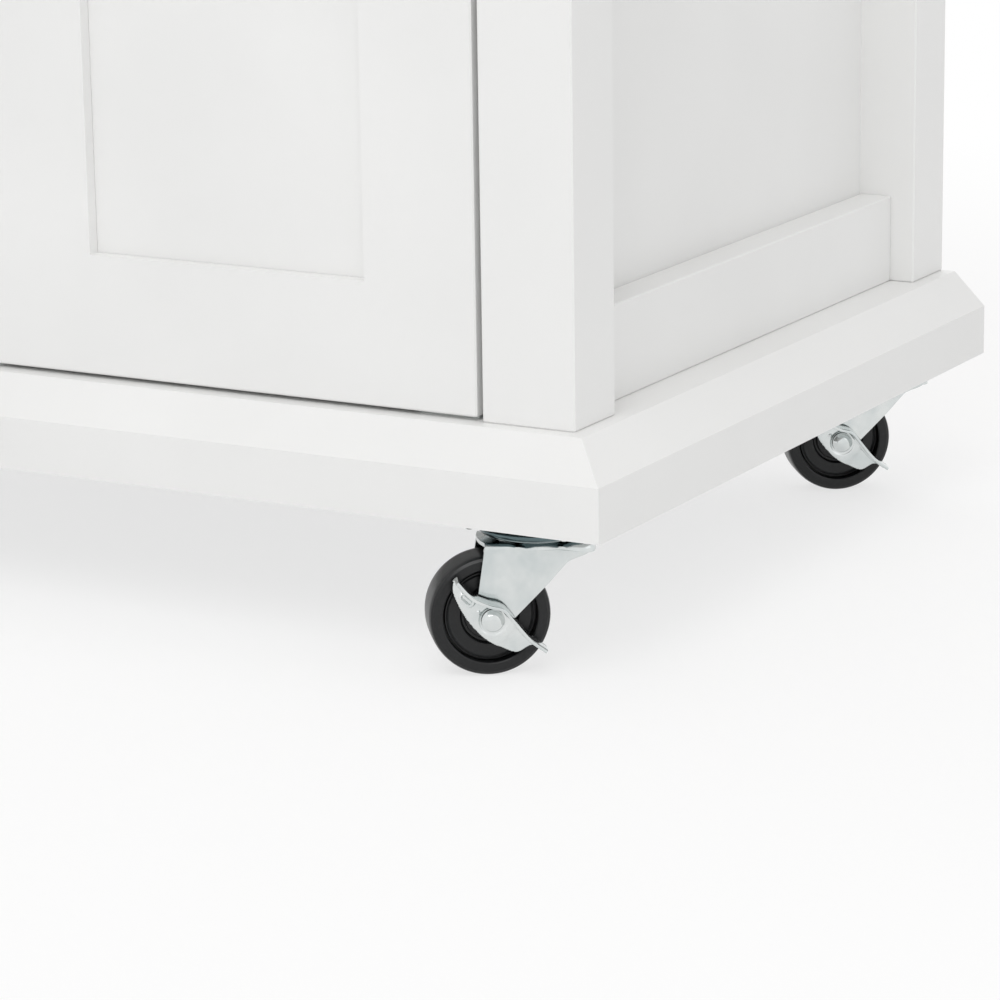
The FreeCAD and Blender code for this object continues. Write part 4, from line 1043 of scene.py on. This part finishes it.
def seen_directly(tree):
    """1 for what the camera sees, in mirrors and through clear pieces too, and 0 for the rest."""
    path = node(tree, "ShaderNodeLightPath")
    plain = node(tree, "ShaderNodeMath", {
        0: path.outputs["Is Camera Ray"], 1: path.outputs["Is Glossy Ray"]}, operation="ADD")
    return node(tree, "ShaderNodeMath", {
        0: plain.outputs["Value"], 1: path.outputs["Is Transmission Ray"]},
        operation="ADD", use_clamp=True).outputs["Value"]


def make_floor():
    """A pale floor that keeps the shadow and goes over into the white background."""
    mesh = bpy.data.meshes.new("floor")
    reach = 30.0
    corners = [(-reach, -reach, 0), (reach, -reach, 0), (reach, reach, 0), (-reach, reach, 0)]
    mesh.from_pydata(corners, [], [(0, 1, 2, 3)])
    floor = bpy.data.objects.new("floor", mesh)
    bpy.context.scene.collection.objects.link(floor)
    made, tree, shader, place = new_material("pale_studio_floor")
    shader.inputs["Base Color"].default_value = srgb("#F8F8F8")
    shader.inputs["Roughness"].default_value = 0.9
    shader.inputs["Specular IOR Level"].default_value = 0.1
    white = node(tree, "ShaderNodeEmission", {"Color": (1, 1, 1, 1), "Strength": 1.0})
    # white takes over from 0.45 to 1.3 m away from the island's middle
    distance = node(tree, "ShaderNodeVectorMath", {0: place}, operation="LENGTH")
    fade = node(tree, "ShaderNodeMapRange", {
        "Value": distance.outputs["Value"], "From Min": 0.45, "From Max": 1.3, "To Min": 0.7})
    seen = node(tree, "ShaderNodeMath", {
        0: fade.outputs["Result"], 1: seen_directly(tree)}, operation="MULTIPLY")
    both = node(tree, "ShaderNodeMixShader", {
        0: seen.outputs["Value"], 1: shader.outputs["BSDF"], 2: white.outputs["Emission"]})
    output = next(n for n in tree.nodes if n.bl_idname == "ShaderNodeOutputMaterial")
    tree.links.new(both.outputs["Shader"], output.inputs["Surface"])
    mesh.materials.append(made)


def make_world():
    """A plain grey light from all round, seen as white by the camera."""
    world = bpy.data.worlds.new("studio")
    bpy.context.scene.world = world
    world.use_nodes = True
    tree = world.node_tree
    tree.nodes.clear()
    light = node(tree, "ShaderNodeBackground", {"Color": (1, 1, 1, 1), "Strength": 0.68})
    white = node(tree, "ShaderNodeBackground", {"Color": (1, 1, 1, 1), "Strength": 1.0})
    both = node(tree, "ShaderNodeMixShader", {
        0: seen_directly(tree), 1: light.outputs["Background"], 2: white.outputs["Background"]})
    node(tree, "ShaderNodeOutputWorld", {"Surface": both.outputs["Shader"]})


def make_camera():
    """The photograph's viewpoint, found from the edges of the base, posts and rails."""
    azimuth = math.radians(CAMERA_AZIMUTH)
    pitch = math.radians(CAMERA_PITCH)
    roll = math.radians(CAMERA_ROLL)
    ahead = Vector((
        -math.sin(azimuth) * math.cos(pitch), math.cos(azimuth) * math.cos(pitch),
        -math.sin(pitch)))
    level = Vector((math.cos(azimuth), math.sin(azimuth), 0))
    down = ahead.cross(level)
    right = math.cos(roll) * level + math.sin(roll) * down
    below = -math.sin(roll) * level + math.cos(roll) * down
    data = bpy.data.cameras.new("photo_camera")
    data.sensor_width = 36.0
    data.lens = CAMERA_LENS
    data.clip_end = 100.0
    made = bpy.data.objects.new("photo_camera", data)
    bpy.context.scene.collection.objects.link(made)
    turn = Matrix((right, -below, -ahead)).transposed().to_4x4()
    made.matrix_world = Matrix.Translation(Vector(CAMERA_SPOT) * MM) @ turn
    bpy.context.scene.camera = made


bpy.context.scene.view_settings.view_transform = "Standard"
make_floor()
make_world()
make_camera()
for lamp_name, lamp_settings in LAMPS.items():
    soft_lamp(lamp_name, *lamp_settings)
